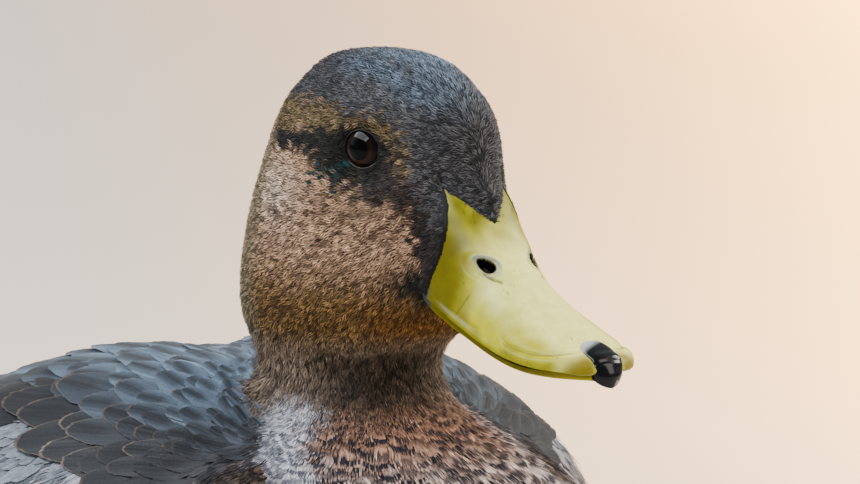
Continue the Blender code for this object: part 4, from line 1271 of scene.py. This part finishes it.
for side, eye, name in EYES:
    axes = eye_axes(side)
    ball_ways = (np.cos(rise), np.sin(rise) * np.cos(round_ball), np.sin(rise) * np.sin(round_ball))
    ball_ways = np.stack(np.broadcast_arrays(*ball_ways), 2) @ axes
    ball_points = np.array(eye) + EYE_BALL * ball_ways * (1 + 0.015 * fade(rise, 0.7))[..., None]
    ball = solid_object(f"eye_ball_{name}", ball_points, ring_grid(BALL_RINGS, BALL_SIDES), ball_tint, glass)
    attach(ball, "root")
    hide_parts(f"eye_{name}")

    lid_points = np.array(eye) + np.stack([lid_depth, lid_wide, lid_tall], 2) @ axes / 1000
    lid_faces = ring_grid(len(LID_PROFILE), LID_SIDES)
    lid = solid_object(f"lid_{name}", lid_points, lid_faces, lid_tint, lid_finish)
    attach(lid, "root")

# ---------------------------------------------------------------------------------------------
# The mantle and scapulars: broad rounded vanes that fan out from each shoulder and lap down the back like
# slates. They are slate-brown, with a painted blue sheen of the sky on top, and thin buff edges at the sides.

SHOULDER = np.array([0.0262, -0.1335, 0.1965])
MANTLE_SKY_SHEEN, SCAPULAR_SLATE, SCAPULAR_DARK = shade(96, 113, 130), shade(46, 45, 47), shade(22, 21, 24)
BUFF_EDGE, VANE_SHAFT = shade(124, 106, 86), shade(30, 28, 28)
BACK_OVERLAP = 0.235  # the spacing of the roots, as a share of a feather's length
BACK_ASTRAY = 0.34  # a tip that would stand further off the skin than this share isn't worn
BACK_FEATHER = dict(
    barbs=23, steps=(0, 0.3, 0.55, 0.75, 0.88, 0.952, 0.972, 1), length=1.0, width=0.56, lift=0.07, tip=0.075,
    rounding=0.5, ragged=0.010, camber=0.07, loose=0.00005, stout=1.5, taper=0.35, turn=0.09, stray=0.15,
    joined=True,
)


def slated(points):
    """Back feathers: slate hearts under a painted blue sheen of the sky on top, a dark shaft and buff edges
    that wear away towards the spine.
    """
    x, y, z = (part[:, None, None] for part in points.T)
    on_top = ramp(z, 0.192, 0.2070) * (1 - 0.75 * ramp(np.abs(x), 0.030, 0.052))
    low = 0.9 * ramp(np.abs(x), 0.033, 0.047) * (0.35 + 0.65 * ramp(y, -0.110, -0.085))
    # The vanes' slate, with a painted blue sheen of the sky over the top of the back.
    painted_sheen = lay(lay(SCAPULAR_SLATE, MANTLE_SKY_SHEEN, on_top), SCAPULAR_DARK, low)
    edged = 0.95 * (1 - 0.9 * on_top) * ramp(y, -0.13, -0.115)

    def colour(u, t, dice):
        each, every = (len(u), 1, 1), u.shape
        u = u * np.ones_like(t)
        tone = uneven(dice, 0.16, each) * uneven(dice, 0.05, u.shape) * uneven(dice, 0.12, every)
        rim = np.maximum(ramp(t, 0.952, 0.972), 0.5 * ramp(np.abs(u), 0.93, 0.99) * ramp(t, 0.6, 0.8))
        worn = dice.uniform(0.05, 0.95, each) * dice.uniform(0.45, 1.0, every)
        laid = lay(painted_sheen, SCAPULAR_DARK, 0.8 * (1 - ramp(np.abs(u), 0.1, 0.75)) * ramp(t, 0.3, 0.6))
        laid = lay(laid, VANE_SHAFT, 0.5 * (np.abs(u) < 0.08))
        return lay(laid, BUFF_EDGE, edged * rim * worn) * tone[..., None]

    return colour


def from_shoulder(points):
    """The way from the nearer shoulder to each place."""
    return points - SHOULDER * np.where(points[:, :1] < 0, (-1, 1, 1), 1)


def back_size(points):
    """The length of a back feather, in metres: small at the shoulder and long over the wing."""
    away = np.linalg.norm(from_shoulder(points), axis=1)
    most = 0.0085 + 0.5 * np.maximum(mantle_front(points), 0)
    return np.minimum(0.0080 + 0.0190 * ramp(away, 0.004, 0.065), most)


def lie_of_back(points, normals):
    """The way each back feather points: fanned out from the shoulder, then back along the wing."""
    away = from_shoulder(points)
    away[:, 1] = np.maximum(away[:, 1], 0.4 * np.linalg.norm(away, axis=1))
    far = np.linalg.norm(away, axis=1)[:, None]
    near = 1 - ramp(far, 0.012, 0.07)
    outward = np.sign(points[:, :1]) * np.array([0.12, 0, 0]) + np.array([0, 1, -0.10])
    return laid_flat(near * away / np.maximum(far, 1e-6) + (1 - 0.6 * near) * outward, normals)


vane_finish = barb_finish("vane_plumage", gloss=0.55, sheen=0.1, scale=1500, depth=0.12)
back_roots, back_normals = scatter(lambda p: BACK_OVERLAP * back_size(p), on_back, seed=81)
order = np.argsort(-back_roots[:, 1])
back_roots, back_normals = back_roots[order], back_normals[order]
back_lies = lie_of_back(back_roots, back_normals)
back_tips = back_roots + back_lies * back_size(back_roots)[:, None]
nearest = np.array([tuple(skin_tree.find_nearest(tip)[0]) for tip in back_tips])
worn = np.linalg.norm(back_tips - nearest, axis=1) / back_size(back_roots) < BACK_ASTRAY
back_roots, back_normals, back_lies = back_roots[worn], back_normals[worn], back_lies[worn]
mantle = barbed(
    "mantle_and_scapulars", back_roots, back_normals, back_lies,
    BACK_FEATHER, slated(back_roots), vane_finish, seed=82, scale=back_size(back_roots),
)
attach(mantle, "root")

# ---------------------------------------------------------------------------------------------
# The folded wing's quills: brown tertials over the rump, the blue speculum between black and
# white bars low on each side, and the dark primaries crossed over the tail's root.

QUILL_ROWS, QUILL_COLS, QUILL_THICK, SHAFT_PROUD = 40, 9, 0.00028, 0.00035
QUILL_WIDTH, TERTIAL_WIDTH = 0.011, 0.0165
QUILLS_IN_ROW, TERTIALS_IN_ROW = 7, 4
TERTIAL, TERTIAL_EDGE, COVERT = shade(104, 95, 86), shade(160, 146, 126), shade(88, 84, 82)
SPECULUM, BAR_BLACK, BAR_WHITE = shade(26, 46, 112), shade(18, 18, 22), shade(226, 222, 214)
SPECULUM_BARS = (  # each bar's colour, and where along the quill it starts and is full
    (BAR_WHITE, 0.20, 0.22), (BAR_BLACK, 0.255, 0.275), (SPECULUM, 0.32, 0.36), (BAR_BLACK, 0.76, 0.79),
    (BAR_WHITE, 0.88, 0.905),
)
PRIMARY, PRIMARY_EDGE = shade(70, 62, 56), shade(120, 108, 94)
# The root and tip of the lowest and of the highest quill in each row, on the left side.
SECONDARIES = ((0.078, 0.014, 0.152), (0.056, 0.082, 0.149)), ((0.066, 0.018, 0.170), (0.040, 0.090, 0.164))
TERTIALS = ((0.058, 0.010, 0.178), (0.034, 0.106, 0.163)), ((0.036, 0.010, 0.194), (0.018, 0.094, 0.168))
PRIMARIES = ((0.040, 0.062, 0.149), (0.0175, 0.132, 0.1572)), ((0.034, 0.062, 0.154), (0.010, 0.1745, 0.1612))


def half_vane(t, blunt):
    """A vane's half width along it: narrow at the quill, full past the middle, rounded at the end."""
    body = 0.4 + 0.6 * ramp(t, 0, 0.4)
    end = np.clip((t - 1 + blunt) / blunt, 0, 1)
    return body * np.sqrt(np.clip(1 - end**2.2, 0, 1))


def eased(row, rounds):
    """A row of points, each drawn towards its neighbours. Its ends stay."""
    for _ in range(rounds):
        row[1:-1] = (row[:-2] + row[1:-1] * 2 + row[2:]) / 4
    return row


def quill(path, width, tone, blunt, up=None, over_skin=None):
    """One long feather: its top and underside as rings of points along a path, with its colours.
    The path runs from the quill to the tip, and up is the way its face looks. Given a height over
    the skin, the feather is laid along the body at that height."""
    t = np.linspace(0, 1, QUILL_ROWS)
    path = np.stack([through(np.linspace(0, 1, len(path)), part, t) for part in np.array(path).T], 1)
    if over_skin is not None:
        near, facing, _, _ = zip(*(skin_tree.find_nearest(place) for place in path))
        up = eased(np.array([tuple(way) for way in facing]), 6)
        path = np.array([tuple(place) for place in near])
        path = eased(path + up * over_skin * (0.1 + 0.9 * ramp(t, 0, 0.35))[:, None], 3)
    run = np.gradient(path, axis=0)
    run /= np.linalg.norm(run, axis=1)[:, None]
    across = np.cross(up, run)
    across /= np.linalg.norm(across, axis=1)[:, None]
    face = np.cross(run, across)[:, None]
    u, t = np.linspace(-1, 1, QUILL_COLS), t[:, None]
    half = width / 2 * half_vane(t, blunt)
    rise = -0.10 * half * u**2
    shaft = SHAFT_PROUD * fade(u, 0.12) * (1 - t)
    middle = path[:, None] + across[:, None] * (half * u)[..., None]
    top = middle + face * (rise + QUILL_THICK / 2 + shaft)[..., None]
    below = middle + face * (rise - QUILL_THICK / 2)[..., None]
    round_u = np.concatenate([u, u[::-1]])
    return np.concatenate([top, below[:, ::-1]], 1), tone(*np.broadcast_arrays(round_u, t))


def quills(name, feathers, patch, finish):
    """Several long feathers as one piece. Each has a patch of its own on the unwrap."""
    points, tints = (np.array(part) for part in zip(*feathers))
    many, sides = len(feathers), 2 * QUILL_COLS
    tube = ring_grid(QUILL_ROWS, sides)[:, ::-1]
    faces = np.concatenate([tube + number * QUILL_ROWS * sides for number in range(many)])
    u = np.concatenate([np.linspace(-1, 1, QUILL_COLS), np.linspace(1, -1, QUILL_COLS)])
    places = 0.02 + 0.96 * (np.arange(many)[:, None, None] + 0.5) / many + u * 0.4 / many
    patches = np.stack(np.broadcast_arrays(places, patch + np.linspace(0, 0.1, QUILL_ROWS)[:, None]), 3)
    return sheet_object(name, points, [faces], tints, patches, finish)


def grained(inner, edge, shaft):
    """A long feather's colours: its vane, a paler edge, and the shaft."""

    def tone(u, t):
        laid = lay(inner, edge, ramp(np.abs(u), 0.72, 0.98) * ramp(t, 0.1, 0.4))
        return lay(laid, shaft, 1.0 * (np.abs(u) < 0.1))

    return tone


def speculum_tone(u, t):
    """A secondary's colours: a grey root, then bar after bar."""
    laid = COVERT
    for bar, start, full in SPECULUM_BARS:
        laid = lay(laid, bar, ramp(t, start, full))
    return laid


def fanned(count, ends, side, bend=(0, 0, 0)):
    """The paths of a row of quills, numbered from the lowest, each bent a little at its middle."""
    for number, share in enumerate(np.linspace(0, 1, count)):
        root, tip = np.array(ends[0]) + (np.array(ends[1]) - ends[0]) * share
        yield number, np.array([root, (root + tip) / 2 + bend, tip]) * (side, 1, 1)


quill_finish = barb_finish("quill_plumage", gloss=0.45, sheen=0.15, scale=1200, depth=0.10)
for side, name in ((1, "left"), (-1, "right")):
    feathers = []
    for k, path in fanned(QUILLS_IN_ROW, SECONDARIES, side):
        feathers.append(quill(path, QUILL_WIDTH, speculum_tone, blunt=0.2, over_skin=0.0024 + 0.0003 * k))
    for k, path in fanned(TERTIALS_IN_ROW, TERTIALS, side):
        tone = grained(TERTIAL * (1 - 0.12 * k), TERTIAL_EDGE, VANE_SHAFT)
        feathers.append(quill(path, TERTIAL_WIDTH, tone, blunt=0.34, over_skin=0.0042 + 0.0004 * k))
    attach(quills(f"wing_quills_{name}", feathers, 0.05 if side > 0 else 0.2, quill_finish), "root")

    feathers = []
    for k, path in fanned(QUILLS_IN_ROW, PRIMARIES, side, bend=(0.002, 0, 0.0012)):
        tone = grained(PRIMARY * (1 - 0.05 * k), PRIMARY_EDGE, VANE_SHAFT)
        feathers.append(quill(path, QUILL_WIDTH, tone, blunt=0.3, up=(0.35 * side, 0, 1.0)))
    primaries = quills(f"primary_quills_{name}", feathers, 0.35 if side > 0 else 0.5, quill_finish)
    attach(primaries, "root")
    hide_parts(f"primaries_{name}")

# ---------------------------------------------------------------------------------------------
# The tail: eighteen short pointed feathers fanned from the rump, grey-brown with pale edges, and
# nearly white at the outside.

TAIL_FEATHERS, TAIL_WIDTH = 18, 0.0115
TAIL_BROWN, TAIL_PALE, TAIL_WHITE = shade(118, 108, 98), shade(206, 198, 186), shade(232, 228, 220)

feathers = []
for k in range(TAIL_FEATHERS):
    rank = k // 2  # outermost first, so that the middle pair lies on top
    side = 1 if k % 2 else -1
    share = 1 - rank / (TAIL_FEATHERS / 2 - 1)
    root = np.array([side * (0.002 + 0.010 * share), 0.122, 0.1385 - 0.003 * share])
    tip = np.array([side * (0.0022 + 0.0265 * share), 0.2080 - 0.021 * share**1.5, 0.1420 - 0.0045 * share])
    middle = (root + tip) / 2 + np.array([side * 0.001 * share, 0, -0.0006])
    inner = lay(TAIL_BROWN, TAIL_WHITE, ramp(share, 0.55, 1.0))
    tone = grained(inner, TAIL_PALE, TAIL_BROWN * 0.6)
    path = [root, middle, tip]
    feathers.append(quill(path, TAIL_WIDTH, tone, blunt=0.5, up=(0.25 * side * share, 0, 1.0)))
tail = quills("tail_quills", feathers, 0.65, quill_finish)
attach(tail, "root")
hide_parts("tail")

# ---------------------------------------------------------------------------------------------
# The shanks and webbed feet: orange scaly skin, with small plates round the shank and across
# each toe, and a thin wrinkled web.

LEG_ORANGE, LEG_PALE, WEB_ORANGE = shade(214, 112, 34), shade(232, 150, 74), shade(196, 96, 34)
LEG_EDGE, LEG_SMOOTHING = 0.0007, 3
SCALE_PITCH, SCALE_RISE, PEBBLE_RISE = 0.0019, 0.00012, 0.00005

leg_finish = horn_finish("leg_skin", gloss=0.55)
for node, rounds in (("shank_left", 3), ("shank_right", 3), ("foot_left", 2), ("foot_right", 2)):
    fine_leg = bmesh.new()
    fine_leg.from_mesh(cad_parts[node].data)
    bmesh.ops.remove_doubles(fine_leg, verts=fine_leg.verts, dist=1e-6)
    bmesh.ops.triangulate(fine_leg, faces=fine_leg.faces)
    for _ in range(rounds):
        long_edges = [e for e in fine_leg.edges if e.calc_length() > LEG_EDGE]
        bmesh.ops.subdivide_edges(fine_leg, edges=long_edges, cuts=1)
        bmesh.ops.triangulate(fine_leg, faces=fine_leg.faces)
    mesh = bpy.data.meshes.new(f"{node}_skin")
    fine_leg.to_mesh(mesh)
    fine_leg.free()
    points, edges, normals = mesh_arrays(mesh)
    points = even_out(points, edges, LEG_SMOOTHING)
    along = points[:, 2 if node.startswith("shank") else 1]
    plates = np.abs(np.sin(along * 2 * math.pi / SCALE_PITCH))
    pebbles = soft_noise(points, 0.0011, 91)
    points = points + normals * (SCALE_RISE * np.sqrt(plates) + PEBBLE_RISE * pebbles)[:, None]
    if node.startswith("foot"):
        points[:, 2] = np.maximum(points[:, 2], 0)
    mesh.vertices.foreach_set("co", points.ravel())
    leg_tint = lay(LEG_ORANGE, LEG_PALE, 0.4 + 0.3 * pebbles)
    dress(mesh, lay(leg_tint, WEB_ORANGE * 0.6, 0.5 * (1 - ramp(plates, 0.0, 0.35))), leg_finish)
    piece = set_out(f"{node}_skin", mesh)
    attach(piece, "root")
    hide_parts(node)
